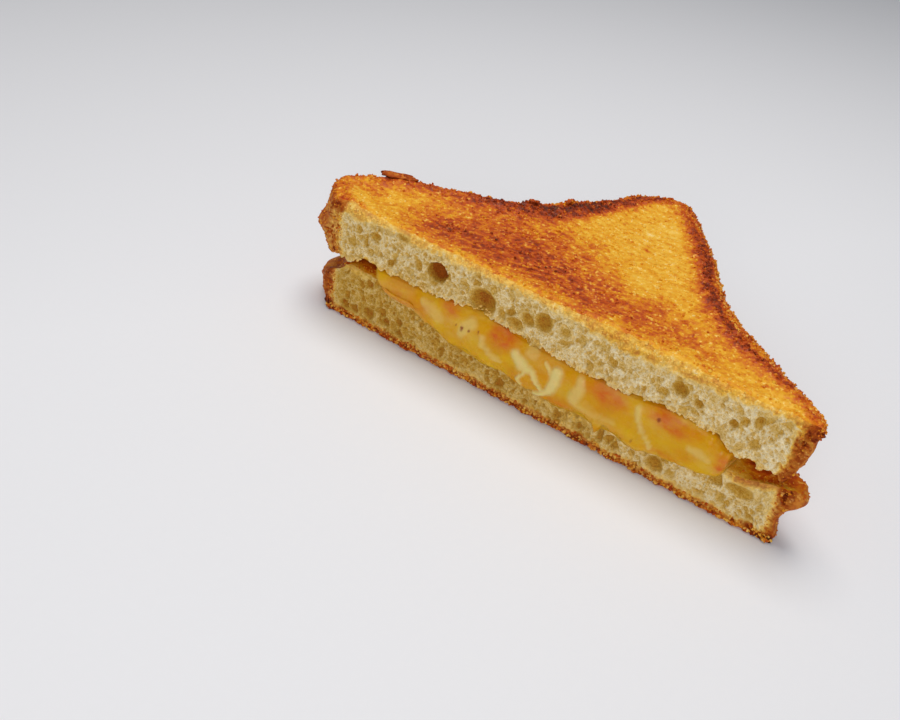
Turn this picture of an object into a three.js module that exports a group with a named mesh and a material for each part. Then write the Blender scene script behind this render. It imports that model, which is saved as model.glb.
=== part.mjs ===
// Half of a grilled cheese sandwich: two thick slices of pan-fried white bread with melted cheese
// between them, cut corner to corner. Millimetres; +X runs along the cut from its left end to its
// right, +Y from the cut to the crust's back corner, +Z up. The origin is the middle of the base.
import * as THREE from "three";
import { mergeVertices } from "three/addons/utils/BufferGeometryUtils.js";

// The slice before the cut: a square of bread whose crust sides draw in at the waist.
const LEFT_SIDE = 112;
const RIGHT_SIDE = 115;
const CORNER_CURVE = 9;
const RIGHT_CORNER_CURVE = 6;
const LEFT_WAIST = { depth: 11, skew: 1.2 };
const RIGHT_WAIST = { depth: 7.7, skew: 1.4 };
const STRAIGHT = { depth: 0, skew: 1 };

// The knife goes in past the left corner and comes out just past the right one.
const LEFT_OVERRUN = 17.4;
const RIGHT_OVERRUN = 2.8;

// Heights, from the flat base up. The cheese presses the lower slice down and lifts the upper one.
const LOWER_SLICE_TOP = 17.4;
const CHEESE_PRESS = 3.1;
const PRESSED_FROM = 8.5;
const UPPER_SLICE_BASE = 19.8;
const CHEESE_LIFT = 1.9;
const SANDWICH_TOP = 37;
const TOUCHING_GAP = 0.45;

// The crust bellies out between its two edges, and a ridge runs just inside the top edge.
const CRUST_BELLY = 1.6;
const CRUST_EDGE_ROUND = 1.1;
const RIM = { rise: 0.7, inset: 4, width: 2.6 };
const FACE_SAG = 0.9;

// Burnt crags that stand on the rim.
const RIM_CRAGS = [
  { x: -68, y: 28, rise: 1.0, width: 3.5 },
  { x: -23.5, y: 60, rise: 1.1, width: 3.5 },
  { x: -9, y: 77, rise: 0.6, width: 5 },
];

// The melted cheese stops short of the crust, and hangs over the cut as a lip.
const CHEESE_INSET = 11;
const CHEESE_EDGE_ROUND = 1.1;
const LIP_LOW = 8.2;
const LIP_FADE = 5;
const LIP_HANG = 1.2;

// The lip's section from behind it, round its low edge and up its front: how far out it stands, and
// its height, as millimetres over the low edge or as a share of the filling's thickness.
const LIP_SECTION = [
  { out: 0.35, share: 0.03 },
  { out: 0.35, over: 0.9 },
  { out: 0.9, over: 0 },
  { out: 2.0, over: 0.6 },
  { out: 2.6, over: 2.6 },
  { out: 2.3, share: 0.3 },
  { out: 1.7, share: 0.7 },
  { out: 0.4, share: 0.96 },
];

// Large gas holes that the cut opens: middle, half width, half height and depth.
const UPPER_HOLES = [
  { x: -35.2, z: 29.3, wide: 3.4, high: 3.3, deep: 4.4 },
  { x: -19.5, z: 27.2, wide: 4.3, high: 4.0, deep: 3.6 },
  { x: -2.3, z: 29.3, wide: 2.7, high: 3.6, deep: 3.2 },
  { x: -9.2, z: 26.2, wide: 3.0, high: 2.4, deep: 2.2 },
  { x: 6.2, z: 30.1, wide: 2.6, high: 2.6, deep: 1.3 },
  { x: 39.6, z: 30.0, wide: 2.6, high: 2.2, deep: 1.8 },
];
const LOWER_HOLES = [
  { x: 39.3, z: 4.9, wide: 2.8, high: 2.8, deep: 2.2 },
  { x: 62.1, z: 10.3, wide: 4.2, high: 2.2, deep: 2.0 },
  { x: -57.0, z: 5.0, wide: 2.6, high: 2.6, deep: 1.2 },
];

// Points round the outline, levels up a slice's side, and rings in each face: how clear of the crust
// a ring stands, and its share of the way from the outline to the face's middle.
const CRUST_STEPS = 54;
const CUT_STEPS = 52;
const SIDE_LEVELS = [0, 0.1, 0.26, 0.42, 0.58, 0.74, 0.9, 1];
const RIM_RINGS = [
  { depth: 1.2, share: 0.03 },
  { depth: 4, share: 0.09 },
  { depth: 7, share: 0.15 },
  { depth: PRESSED_FROM, share: 0.2 },
];
const MIDDLE_RINGS = [
  { depth: CHEESE_INSET, share: 0.26 },
  { depth: CHEESE_INSET, share: 0.4 },
  { depth: CHEESE_INSET, share: 0.62 },
  { depth: 0, share: 1 },
];
const FACE_MIDDLE = new THREE.Vector2(-3, 27);

const { clamp, lerp, smoothstep } = THREE.MathUtils;
const bump = (value, middle, width) => Math.exp(-(((value - middle) / width) ** 2));

// One crust side of the slice from corner to corner, drawn in by a waist between the corner curves.
// As a curve it runs from one corner curve to the next.
class CrustSide extends THREE.Curve {
  constructor(from, to, waist, endCurve = CORNER_CURVE) {
    super();
    this.from = from;
    this.waist = waist;
    this.finish = from.distanceTo(to) - endCurve;
    this.along = to.clone().sub(from).normalize();
    this.inward = new THREE.Vector2(this.along.y, -this.along.x);
  }

  dip(reach) {
    const t = clamp((reach - CORNER_CURVE) / (this.finish - CORNER_CURVE), 0, 1);
    return (this.waist.depth * (1 - Math.cos(2 * Math.PI * t ** this.waist.skew))) / 2;
  }

  getPoint(t, target = new THREE.Vector2()) {
    const reach = lerp(CORNER_CURVE, this.finish, t);
    target.copy(this.from).addScaledVector(this.along, reach);
    return target.addScaledVector(this.inward, this.dip(reach));
  }

  // How far a point lies inside this side.
  depthOf({ x, y }) {
    const way = new THREE.Vector2(x, y).sub(this.from);
    return way.dot(this.inward) - this.dip(way.dot(this.along));
  }
}

// The slice's corners and the knife's way in and out, with the cut laid along X, its middle at zero.
function layAlongCut() {
  const places = {
    backCorner: new THREE.Vector2(0, 0),
    leftCorner: new THREE.Vector2(-LEFT_SIDE, 0),
    rightCorner: new THREE.Vector2(0, -RIGHT_SIDE),
    knifeIn: new THREE.Vector2(-LEFT_SIDE, -LEFT_OVERRUN),
    knifeOut: new THREE.Vector2(-RIGHT_OVERRUN, -RIGHT_SIDE),
  };
  const middle = places.knifeIn.clone().add(places.knifeOut).divideScalar(2);
  const turn = -places.knifeOut.clone().sub(places.knifeIn).angle();
  Object.values(places).forEach((place) => place.sub(middle).rotateAround(new THREE.Vector2(), turn));
  return places;
}

const { backCorner, leftCorner, rightCorner, knifeIn, knifeOut } = layAlongCut();
const LEFT_END = new CrustSide(knifeIn, leftCorner, STRAIGHT);
const LEFT_CRUST = new CrustSide(leftCorner, backCorner, LEFT_WAIST);
const RIGHT_CRUST = new CrustSide(backCorner, rightCorner, RIGHT_WAIST, RIGHT_CORNER_CURVE);
const RIGHT_END = new CrustSide(rightCorner, knifeOut, STRAIGHT);

// Distance in from the nearest crust side. The cut doesn't count.
function crustDistance(place) {
  return Math.min(...[LEFT_END, LEFT_CRUST, RIGHT_CRUST, RIGHT_END].map((side) => side.depthOf(place)));
}

// The path round the crust from the cut's left end to its right.
function crustPath() {
  const turnIn = leftCorner.clone().addScaledVector(LEFT_END.along, -CORNER_CURVE);
  const path = new THREE.CurvePath();
  path.add(new THREE.LineCurve(knifeIn, turnIn));
  path.add(new THREE.QuadraticBezierCurve(turnIn, leftCorner, LEFT_CRUST.getPoint(0)));
  path.add(LEFT_CRUST);
  path.add(new THREE.QuadraticBezierCurve(LEFT_CRUST.getPoint(1), backCorner, RIGHT_CRUST.getPoint(0)));
  path.add(RIGHT_CRUST);
  path.add(new THREE.QuadraticBezierCurve(RIGHT_CRUST.getPoint(1), rightCorner, knifeOut));
  return path;
}

// Points round the half, anticlockwise from above: along the cut and then round the crust. Each
// knows its way out, which is level with the cut at the cut's ends.
function halfOutline() {
  const crust = crustPath().getSpacedPoints(CRUST_STEPS);
  const points = crust.map((at, i) => {
    const way = crust[Math.min(i + 1, CRUST_STEPS)].clone().sub(crust[Math.max(i - 1, 0)]).normalize();
    const square = new THREE.Vector2(-way.y, way.x);
    const level = new THREE.Vector2(Math.sign(at.x), 0);
    const out = square.lerp(level, 1 - smoothstep(at.y, 0, CORNER_CURVE)).normalize();
    return { at, out, onCut: false };
  });
  for (let i = 1; i < CUT_STEPS; i += 1) {
    const at = new THREE.Vector2().lerpVectors(crust[CRUST_STEPS], crust[0], i / CUT_STEPS);
    points.push({ at, out: new THREE.Vector2(0, -1), onCut: true });
  }
  return points.reverse();
}

const OUTLINE = halfOutline();

// A place on the way from an outline point to the face's middle: at least a share of the way in, and
// as far as it takes to stand clear of the crust by a depth.
function placeInside(at, { depth, share }) {
  const spot = (way) => at.clone().lerp(FACE_MIDDLE, way);
  if (crustDistance(spot(share)) >= depth) return spot(share);
  let near = share;
  let far = 1;
  for (let i = 0; i < 16; i += 1) {
    const half = (near + far) / 2;
    if (crustDistance(spot(half)) < depth) near = half;
    else far = half;
  }
  return spot(far);
}

function faceRing(height, ring) {
  return OUTLINE.map(({ at }) => {
    const spot = placeInside(at, ring);
    return new THREE.Vector3(spot.x, spot.y, height(spot));
  });
}

// A closed solid from rings of points: the first and the last are poles in the middle of the
// underside and of the top, and the others run round the solid from one to the other.
function ringSolid(rings) {
  const last = rings.length - 1;
  const profile = rings.map((_, j) => new THREE.Vector2(j === 0 || j === last ? 0 : 1, j));
  const solid = new THREE.LatheGeometry(profile, OUTLINE.length);
  const position = solid.getAttribute("position");
  for (let k = 0; k < position.count; k += 1) {
    const around = Math.floor(k / rings.length) % OUTLINE.length;
    const { x, y, z } = rings[k % rings.length][around];
    position.setXYZ(k, x, y, z);
  }
  solid.deleteAttribute("normal");
  solid.deleteAttribute("uv");
  const merged = mergeVertices(solid, 1e-3);
  merged.computeVertexNormals();
  return merged;
}

// How far into the cut a gas hole goes at x, z.
function holeDepth(holes, x, z) {
  const depths = holes.map((hole) => {
    const away = ((x - hole.x) / hole.wide) ** 2 + ((z - hole.z) / hole.high) ** 2;
    return away < 1 ? hole.deep * Math.sqrt(1 - away) : 0;
  });
  return Math.max(0, ...depths);
}

// A ring up a slice's side, at a level from 0 at the lower edge to 1 at the upper one. The crust
// bellies out, and the cut is flat but for its holes.
function breadSideRing(slice, level) {
  return OUTLINE.map(({ at, out, onCut }) => {
    const z = lerp(slice.under(at), slice.over(at), level);
    const belly = CRUST_BELLY * Math.sqrt(Math.sin(Math.PI * level)) + slice.flare(at.x, level);
    const rounded = at.y > 0 ? CRUST_EDGE_ROUND * Math.abs(2 * level - 1) ** 6 : 0;
    const spot = at.clone().addScaledVector(out, onCut ? 0 : belly - rounded);
    const opened = onCut ? holeDepth(slice.holes, at.x, z) : 0;
    return new THREE.Vector3(spot.x, spot.y + opened, z);
  });
}

function breadSlice(slice) {
  const faceRings = [...RIM_RINGS, ...MIDDLE_RINGS];
  return ringSolid([
    ...faceRings.map((ring) => faceRing(slice.under, ring)).reverse(),
    ...SIDE_LEVELS.map((level) => breadSideRing(slice, level)),
    ...faceRings.map((ring) => faceRing(slice.over, ring)),
  ]);
}

// The lower slice rests flat. The cheese has pressed its upper face down, less far out at the left.
const lowerSlice = {
  holes: LOWER_HOLES,
  under: () => 0,
  over: (place) => {
    const pressStart = 1 + 5.5 * smoothstep(-place.x, 30, 50);
    return LOWER_SLICE_TOP - CHEESE_PRESS * smoothstep(crustDistance(place), pressStart, PRESSED_FROM);
  },
  flare: (x, level) => 2 * bump(x, 74, 5) * bump(level, 0.8, 0.25),
};

// The upper slice arches over the cheese, highest left of the middle and again near the right end.
// Its top face sags a little inside the rim.
const upperSlice = {
  holes: UPPER_HOLES,
  under: (place) => {
    const overCheese = smoothstep(crustDistance(place), 5.5, PRESSED_FROM);
    const nearCut = Math.exp(-place.y / 40);
    const arch = CHEESE_LIFT + nearCut * (2.2 * bump(place.x, -20, 15) + 1.8 * bump(place.x, 43, 11));
    return UPPER_SLICE_BASE + arch * overCheese;
  },
  over: (place) => {
    const depth = crustDistance(place);
    const crags = RIM_CRAGS.map((crag) => crag.rise * bump(place.distanceTo(crag), 0, crag.width));
    const rim = RIM.rise * bump(depth, RIM.inset, RIM.width);
    return SANDWICH_TOP - FACE_SAG * smoothstep(depth, 5, 18) + rim + Math.max(...crags);
  },
  flare: (x, level) => 2.4 * bump(x, -76, 6) * bump(level, 0.22, 0.22),
};

const cheeseFloor = (place) => lowerSlice.over(place) + TOUCHING_GAP;
const cheeseRoof = (place) => upperSlice.under(place) - TOUCHING_GAP;

// The lip's low edge along the cut: wavy, and climbing back to the filling at both ends.
function lipLow(x) {
  const climb = 6 * (1 - smoothstep(x, -56, -28)) + 3 * smoothstep(x, 46, 56);
  return LIP_LOW + climb + 0.6 * Math.sin(x / 3.7) + 0.4 * Math.sin(x / 1.9);
}

// A ring up the cheese's side. Along the cut it follows the lip's section, which fades at both ends
// into the filling's round edge.
function cheeseSideRing({ out: proud, share, over }, index) {
  const round = (index + 1) / (LIP_SECTION.length + 1);
  return OUTLINE.map(({ at, out, onCut }) => {
    const edge = placeInside(at, { depth: CHEESE_INSET, share: 0 });
    const lip = onCut ? smoothstep(crustDistance(at), CHEESE_INSET, CHEESE_INSET + LIP_FADE) : 0;
    const floor = cheeseFloor(edge);
    const roof = cheeseRoof(edge);
    const low = Math.min(floor - LIP_HANG, lipLow(edge.x));
    const lipZ = share === undefined ? low + over : lerp(floor, roof, share);
    const roundOut = CHEESE_EDGE_ROUND * Math.sin(Math.PI * round);
    edge.addScaledVector(out, lerp(roundOut, proud, lip));
    return new THREE.Vector3(edge.x, edge.y, lerp(lerp(floor, roof, round), lipZ, lip));
  });
}

function cheeseFilling() {
  const faceRings = [
    { depth: CHEESE_INSET, share: 0.01 },
    { depth: CHEESE_INSET, share: 0.09 },
    ...MIDDLE_RINGS,
  ];
  return ringSolid([
    ...faceRings.map((ring) => faceRing(cheeseFloor, ring)).reverse(),
    ...LIP_SECTION.map(cheeseSideRing),
    ...faceRings.map((ring) => faceRing(cheeseRoof, ring)),
  ]);
}

function food(name, geometry, color, roughness) {
  const mesh = new THREE.Mesh(geometry, new THREE.MeshStandardMaterial({ color, roughness, metalness: 0 }));
  mesh.name = name;
  return mesh;
}

const sandwich = new THREE.Group();
sandwich.add(food("lower_bread_slice", breadSlice(lowerSlice), 0xc9a468, 0.85));
sandwich.add(food("melted_cheese", cheeseFilling(), 0xe9a227, 0.35));
sandwich.add(food("upper_bread_slice", breadSlice(upperSlice), 0xcf8f3a, 0.8));

// The origin goes to the middle of the base.
const reach = new THREE.Box3().setFromObject(sandwich, true);
const middle = reach.getCenter(new THREE.Vector3());
sandwich.position.set(-middle.x, -middle.y, -reach.min.z);

export default sandwich;
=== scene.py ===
import itertools
import math

import bpy
import numpy as np
from mathutils import Matrix, Vector
from mathutils.geometry import delaunay_2d_cdt
from mathutils.kdtree import KDTree


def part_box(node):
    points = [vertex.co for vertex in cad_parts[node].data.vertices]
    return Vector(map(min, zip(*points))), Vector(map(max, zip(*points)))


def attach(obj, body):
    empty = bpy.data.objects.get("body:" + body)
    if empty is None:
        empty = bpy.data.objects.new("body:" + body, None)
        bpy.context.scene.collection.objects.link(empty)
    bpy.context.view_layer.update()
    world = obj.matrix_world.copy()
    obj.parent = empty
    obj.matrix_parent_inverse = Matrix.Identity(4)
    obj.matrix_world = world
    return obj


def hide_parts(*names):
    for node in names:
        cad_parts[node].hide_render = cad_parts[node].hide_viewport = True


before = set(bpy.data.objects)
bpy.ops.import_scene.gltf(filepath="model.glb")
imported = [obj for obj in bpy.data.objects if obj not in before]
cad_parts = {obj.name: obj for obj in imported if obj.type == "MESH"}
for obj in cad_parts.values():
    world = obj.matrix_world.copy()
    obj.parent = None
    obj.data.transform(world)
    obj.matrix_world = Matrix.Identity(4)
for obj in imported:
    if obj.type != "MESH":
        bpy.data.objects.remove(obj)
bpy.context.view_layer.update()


# The camera looks down at the cut from a little to its right, and leans over, so that the sandwich's
# long cut runs down across the view. Lengths are millimetres from the middle of the cut's foot.
MILLIMETRE = 0.001
CUT_MIDDLE = Vector((0.00365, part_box("upper_bread_slice")[0].y, 0))
CAMERA_TURN = math.radians(29.592)
CAMERA_LIFT = math.radians(35.17)
CAMERA_LEAN = math.radians(9.894)
CAMERA_DISTANCE = 284.078
CAMERA_AIM = Vector((-24.336, -3.514, 6.87))
CAMERA_LENS = 40.04

back = Vector((math.sin(CAMERA_TURN), -math.cos(CAMERA_TURN), math.tan(CAMERA_LIFT))).normalized()
level = Vector((math.cos(CAMERA_TURN), math.sin(CAMERA_TURN), 0))
rise = back.cross(level)
right = level * math.cos(CAMERA_LEAN) + rise * math.sin(CAMERA_LEAN)
above = rise * math.cos(CAMERA_LEAN) - level * math.sin(CAMERA_LEAN)

camera = bpy.data.objects.new("camera", bpy.data.cameras.new("camera"))
camera.data.lens = CAMERA_LENS
camera.data.sensor_width = 36
camera.data.clip_start = 0.01
camera.matrix_world = Matrix((right, above, back)).transposed().to_4x4()
camera.location = CUT_MIDDLE + (CAMERA_AIM + back * CAMERA_DISTANCE) * MILLIMETRE
bpy.context.scene.collection.objects.link(camera)
bpy.context.scene.camera = camera
bpy.context.scene.view_settings.view_transform = "Standard"


# The table is a wide sheet of matt off-white paper, with painted shade that darkens it towards the
# back left, where the lamps' light falls off. A broad soft lamp hangs over the sandwich, a little
# behind it, and a weaker one fills the cut from the front.
TABLE_RADIUS = 3.0
TABLE_DROP = 0.00004
TABLE_WHITE = (232, 234, 239)
TABLE_PAINTED_SHADE = (211, 213, 218)
TABLE_SHADE_FALLOFF = {"way": (-0.86, 0.51, 0), "start": 0.04, "end": 0.36}
ROOM_LIGHT = 0.3
ROOM_WHITE = (236, 240, 246)
LAMPS = {
    "overhead_lamp": {"at": (-0.12, 0.10, 0.75), "size": 0.5, "watts": 3.8, "white": (255, 250, 244)},
    "front_lamp": {"at": (0.25, -0.75, 0.42), "size": 0.5, "watts": 2.75, "white": (255, 250, 246)},
}


def shade(red, green, blue, share=1.0):
    """A colour of 0 to 255 as the renderer's linear light, with full opacity."""
    parts = [c / 255 for c in (red, green, blue)]
    linear = [c / 12.92 if c <= 0.04045 else ((c + 0.055) / 1.055) ** 2.4 for c in parts]
    return (*[c * share for c in linear], 1.0)


def new_material(name, **settings):
    """A material with a plain shader, its settings on the shader's own sockets."""
    material = bpy.data.materials.new(name)
    material.use_nodes = True
    shader = material.node_tree.nodes["Principled BSDF"]
    for socket, value in settings.items():
        shader.inputs[socket.replace("_", " ")].default_value = value
    return material, material.node_tree, shader


def add_node(tree, kind, sockets=None, **settings):
    """A node with its settings; each socket is given a value or the output that feeds it."""
    node = tree.nodes.new(kind if "Node" in kind else "ShaderNode" + kind)
    for name, value in settings.items():
        setattr(node, name, value)
    for name, value in (sockets or {}).items():
        if isinstance(value, bpy.types.NodeSocket):
            tree.links.new(value, node.inputs[name])
        else:
            node.inputs[name].default_value = value
    return node


def grain(tree, size, detail, rough=0.55, stretch=(1, 1, 1)):
    """Noise from 0 to 1 on the object's own coordinates, with lumps about size metres across."""
    place = add_node(tree, "TexCoord").outputs["Object"]
    place = add_node(tree, "Mapping", {"Vector": place, "Scale": stretch}).outputs["Vector"]
    sockets = {"Vector": place, "Scale": 0.7 / size, "Detail": detail, "Roughness": rough}
    return add_node(tree, "TexNoise", sockets).outputs["Fac"]


def maths(tree, operation, first, second=0.0, third=0.0, clamp=False):
    sockets = {0: first, 1: second, 2: third}
    return add_node(tree, "Math", sockets, operation=operation, use_clamp=clamp).outputs[0]


def remap(tree, value, low, high, start=0.0, end=1.0):
    """A value carried from one range over to another, and held at that range's ends."""
    return add_node(tree, "MapRange", {"Value": value, 1: low, 2: high, 3: start, 4: end}).outputs[0]


def blend(tree, share, first, second):
    return add_node(tree, "Mix", {0: share, 6: first, 7: second}, data_type="RGBA").outputs[2]


def dent(tree, shader, height, deep, strength):
    """Dents of the surface that are finer than its mesh."""
    dents = add_node(tree, "Bump", {"Height": height, "Distance": deep, "Strength": strength})
    tree.links.new(dents.outputs["Normal"], shader.inputs["Normal"])


paper, tree, shader = new_material("table_paper", Roughness=0.75)
fibre = grain(tree, 0.0015, detail=4)
tint = add_node(tree, "ValToRGB", {"Fac": fibre})
tint.color_ramp.elements[0].color = shade(*TABLE_WHITE, share=0.985)
tint.color_ramp.elements[1].color = shade(*TABLE_WHITE)
# Painted shade: the paper's white dims towards the back left, in place of the lamps' falloff.
at = add_node(tree, "TexCoord").outputs["Object"]
far = add_node(tree, "VectorMath", {0: at, 1: TABLE_SHADE_FALLOFF["way"]}, operation="DOT_PRODUCT")
far = remap(tree, far.outputs["Value"], TABLE_SHADE_FALLOFF["start"], TABLE_SHADE_FALLOFF["end"])
white = blend(tree, far, tint.outputs["Color"], shade(*TABLE_PAINTED_SHADE))
tree.links.new(white, shader.inputs["Base Color"])
dent(tree, shader, fibre, 0.00005, 0.3)

bpy.ops.mesh.primitive_circle_add(vertices=96, radius=TABLE_RADIUS, fill_type="NGON")
table = bpy.context.object
table.name = "table"
table.data.transform(Matrix.Translation((0, 0, -TABLE_DROP)))
table.data.materials.append(paper)

for name, lamp in LAMPS.items():
    light = bpy.data.lights.new(name, "AREA")
    light.shape = "DISK"
    light.size = lamp["size"]
    light.energy = lamp["watts"]
    light.color = shade(*lamp["white"])[:3]
    holder = bpy.data.objects.new(name, light)
    holder.location = lamp["at"]
    holder.rotation_euler = Vector(lamp["at"]).to_track_quat("Z", "Y").to_euler()
    bpy.context.scene.collection.objects.link(holder)

room = bpy.data.worlds.new("room")
room.use_nodes = True
room.node_tree.nodes["Background"].inputs["Color"].default_value = shade(*ROOM_WHITE)
room.node_tree.nodes["Background"].inputs["Strength"].default_value = ROOM_LIGHT
bpy.context.scene.world = room


# The lower slice is thick white bread, cut corner to corner and fried on its underside. The melted
# cheese has pressed its upper face down. Its outline is a square whose crust sides draw in.
LEFT_SIDE = 112
RIGHT_SIDE = 115
CORNER_CURVE = 9
RIGHT_CORNER_CURVE = 6
LEFT_WAIST = {"depth": 11, "skew": 1.2}
RIGHT_WAIST = {"depth": 7.7, "skew": 1.4}
STRAIGHT = {"depth": 0, "skew": 1}
LEFT_OVERRUN = 17.4
RIGHT_OVERRUN = 2.8
CUT_LENGTH = 146
CUT_END = 73.2
SLICE_THICK = 16.0
LOWER_SLICE_TOP = 17.4
CHEESE_PRESS = 3.1
PRESSED_FROM = 8.5
CRUST_BELLY = 1.6
CRUST_EDGE_ROUND = 1.1


def rows(names, *table):
    """The rows of a table as records, with a name for each column."""
    return [dict(zip(names.split(), row)) for row in table]


def lerp(low, high, share):
    return low + (high - low) * share


def smoothstep(value, low, high):
    share = np.clip((value - low) / (high - low), 0, 1)
    return share * share * (3 - 2 * share)


def bump(value, middle, width):
    return np.exp(-(((value - middle) / width) ** 2))


def cloud(seed, x, y, size):
    """Smooth seeded noise from -1 to 1 with lumps about size across."""
    table = np.random.default_rng(seed).uniform(-1, 1, (256, 256))
    turn = 0.6 + 1.7 * seed
    u = (x * math.cos(turn) + y * math.sin(turn)) / size
    v = (y * math.cos(turn) - x * math.sin(turn)) / size
    i, j = np.floor(u).astype(int), np.floor(v).astype(int)
    u, v = u - i, v - j
    u, v = u * u * (3 - 2 * u), v * v * (3 - 2 * v)
    i, j, after_i, after_j = i & 255, j & 255, (i + 1) & 255, (j + 1) & 255
    near = lerp(table[i, j], table[after_i, j], u)
    far = lerp(table[i, after_j], table[after_i, after_j], u)
    return lerp(near, far, v)


def clouds(seed, x, y, size, layers=3):
    """Layers of cloud, each half the size and strength of the one before."""
    total = sum(cloud(seed + 7 * k, x, y, size / 2**k) / 2**k for k in range(layers))
    return total / sum(1 / 2**k for k in range(layers))


class CrustSide:
    """One side of the slice from corner to corner, drawn in by a waist between the corner curves."""

    def __init__(self, start, end, waist, end_curve=CORNER_CURVE):
        self.start = np.array(start)
        self.waist = waist
        way = np.array(end) - self.start
        self.finish = math.hypot(*way) - end_curve
        self.along = way / math.hypot(*way)
        self.inward = np.array((self.along[1], -self.along[0]))

    def dip(self, reach):
        share = np.clip((reach - CORNER_CURVE) / (self.finish - CORNER_CURVE), 0, 1)
        return self.waist["depth"] * (1 - np.cos(2 * np.pi * share ** self.waist["skew"])) / 2

    def point(self, share):
        reach = lerp(CORNER_CURVE, self.finish, np.asarray(share, float))[..., None]
        return self.start + self.along * reach + self.inward * self.dip(reach)

    def depth_of(self, x, y):
        x, y = x - self.start[0], y - self.start[1]
        reach = x * self.along[0] + y * self.along[1]
        return x * self.inward[0] + y * self.inward[1] - self.dip(reach)


# The corners and the knife's way in and out, turned so that the cut lies along X, its middle at zero.
corners = np.array([(0, 0), (-LEFT_SIDE, 0), (0, -RIGHT_SIDE), (-LEFT_SIDE, -LEFT_OVERRUN),
                    (-RIGHT_OVERRUN, -RIGHT_SIDE)], float)
corners -= (corners[3] + corners[4]) / 2
turn = math.atan2(*(corners[4] - corners[3])[::-1])
corners = corners @ np.array(((math.cos(turn), -math.sin(turn)), (math.sin(turn), math.cos(turn))))
back_corner, left_corner, right_corner, knife_in, knife_out = corners
left_end = CrustSide(knife_in, left_corner, STRAIGHT)
left_crust = CrustSide(left_corner, back_corner, LEFT_WAIST)
right_crust = CrustSide(back_corner, right_corner, RIGHT_WAIST, RIGHT_CORNER_CURVE)
right_end = CrustSide(right_corner, knife_out, STRAIGHT)


def crust_distance(x, y):
    """How far a place lies in from the nearest crust side."""
    sides = [side.depth_of(x, y) for side in (left_end, left_crust, right_crust, right_end)]
    return np.min(sides, axis=0)


def corner_bend(start, corner, end):
    share = np.linspace(0, 1, 120)[:, None]
    return start * (1 - share) ** 2 + 2 * corner * share * (1 - share) + end * share**2


# The way round the crust from the cut's left end to its right, as fine steps with their lengths.
turn_in = left_corner - left_end.along * CORNER_CURVE
fine = np.linspace(0, 1, 900)
crust_way = np.vstack([
    corner_bend(knife_in, (knife_in + turn_in) / 2, turn_in),
    corner_bend(turn_in, left_corner, left_crust.point(0)),
    left_crust.point(fine),
    corner_bend(left_crust.point(1), back_corner, right_crust.point(0)),
    right_crust.point(fine),
    corner_bend(right_crust.point(1), right_corner, knife_out),
])
steps = np.hypot(*np.diff(crust_way, axis=0).T)
crust_way = crust_way[np.append(True, steps > 1e-9)]
way_length = np.append(0, np.cumsum(steps[steps > 1e-9]))
CRUST_LENGTH = way_length[-1]
WAY_STEP = 2.0


def crust_point(reach):
    """The place on the outline at a length along the crust, and its way out."""
    at, ahead, behind = (
        np.stack([np.interp(reach + step, way_length, crust_way[:, k]) for k in (0, 1)], -1)
        for step in (0, WAY_STEP, -WAY_STEP)
    )
    way = (ahead - behind) / np.hypot(*(ahead - behind).T)[:, None]
    square = np.stack([-way[:, 1], way[:, 0]], -1)
    flat = np.stack([np.sign(at[:, 0]), np.zeros(len(at))], -1)
    out = lerp(square, flat, (1 - smoothstep(at[:, 1], 0, CORNER_CURVE))[:, None])
    return at, out / np.hypot(*out.T)[:, None]


# A knot in a loop is drawn smooth with the points next to it, in rounds until it is gone.
KNOT_REACH = range(-6, 8)
KNOT_ROUNDS = 300


def cross(first, second):
    return first[..., 0] * second[..., 1] - first[..., 1] * second[..., 0]


def knotted_edges(loop):
    """Which edges of a closed loop cross another of its edges, or turn back on the one before."""
    run = np.roll(loop, -1, axis=0) - loop
    before = np.roll(run, 1, axis=0)
    turned_back = (run * before).sum(axis=1) < -0.5 * np.hypot(*run.T) * np.hypot(*before.T)
    side = cross(run[:, None], loop[None] - loop[:, None])
    apart = side * np.roll(side, -1, axis=1) < 0
    return (apart & apart.T).any(axis=1) | turned_back


def without_knots(loop):
    """A closed loop with its small knots drawn smooth, because only such a loop can be filled."""
    loop = loop.copy()
    for _ in range(KNOT_ROUNDS):
        knotted = knotted_edges(loop)
        if not knotted.any():
            break
        near = np.any([np.roll(knotted, step) for step in KNOT_REACH], axis=0)
        soft = (np.roll(loop, 1, axis=0) + np.roll(loop, -1, axis=0)) / 2
        loop[near] = lerp(loop, soft, 0.5)[near]
    return loop


def nearest(spots, places):
    """Which place lies nearest to each spot, and how far off it is."""
    places_by_spot = KDTree(len(places))
    for index, (x, y) in enumerate(places):
        places_by_spot.insert((x, y, 0), index)
    places_by_spot.balance()
    found = [places_by_spot.find((x, y, 0)) for x, y in spots]
    return np.array([f[1] for f in found]), np.array([f[2] for f in found])


# A patch's inner points: how far apart its lines of points lie, how loosely the points stand and how
# far they keep from its border, all as shares of their spacing.
LINE_STEP = 0.866
LOOSENESS = 0.22
BORDER_CLEAR = 0.5


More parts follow.
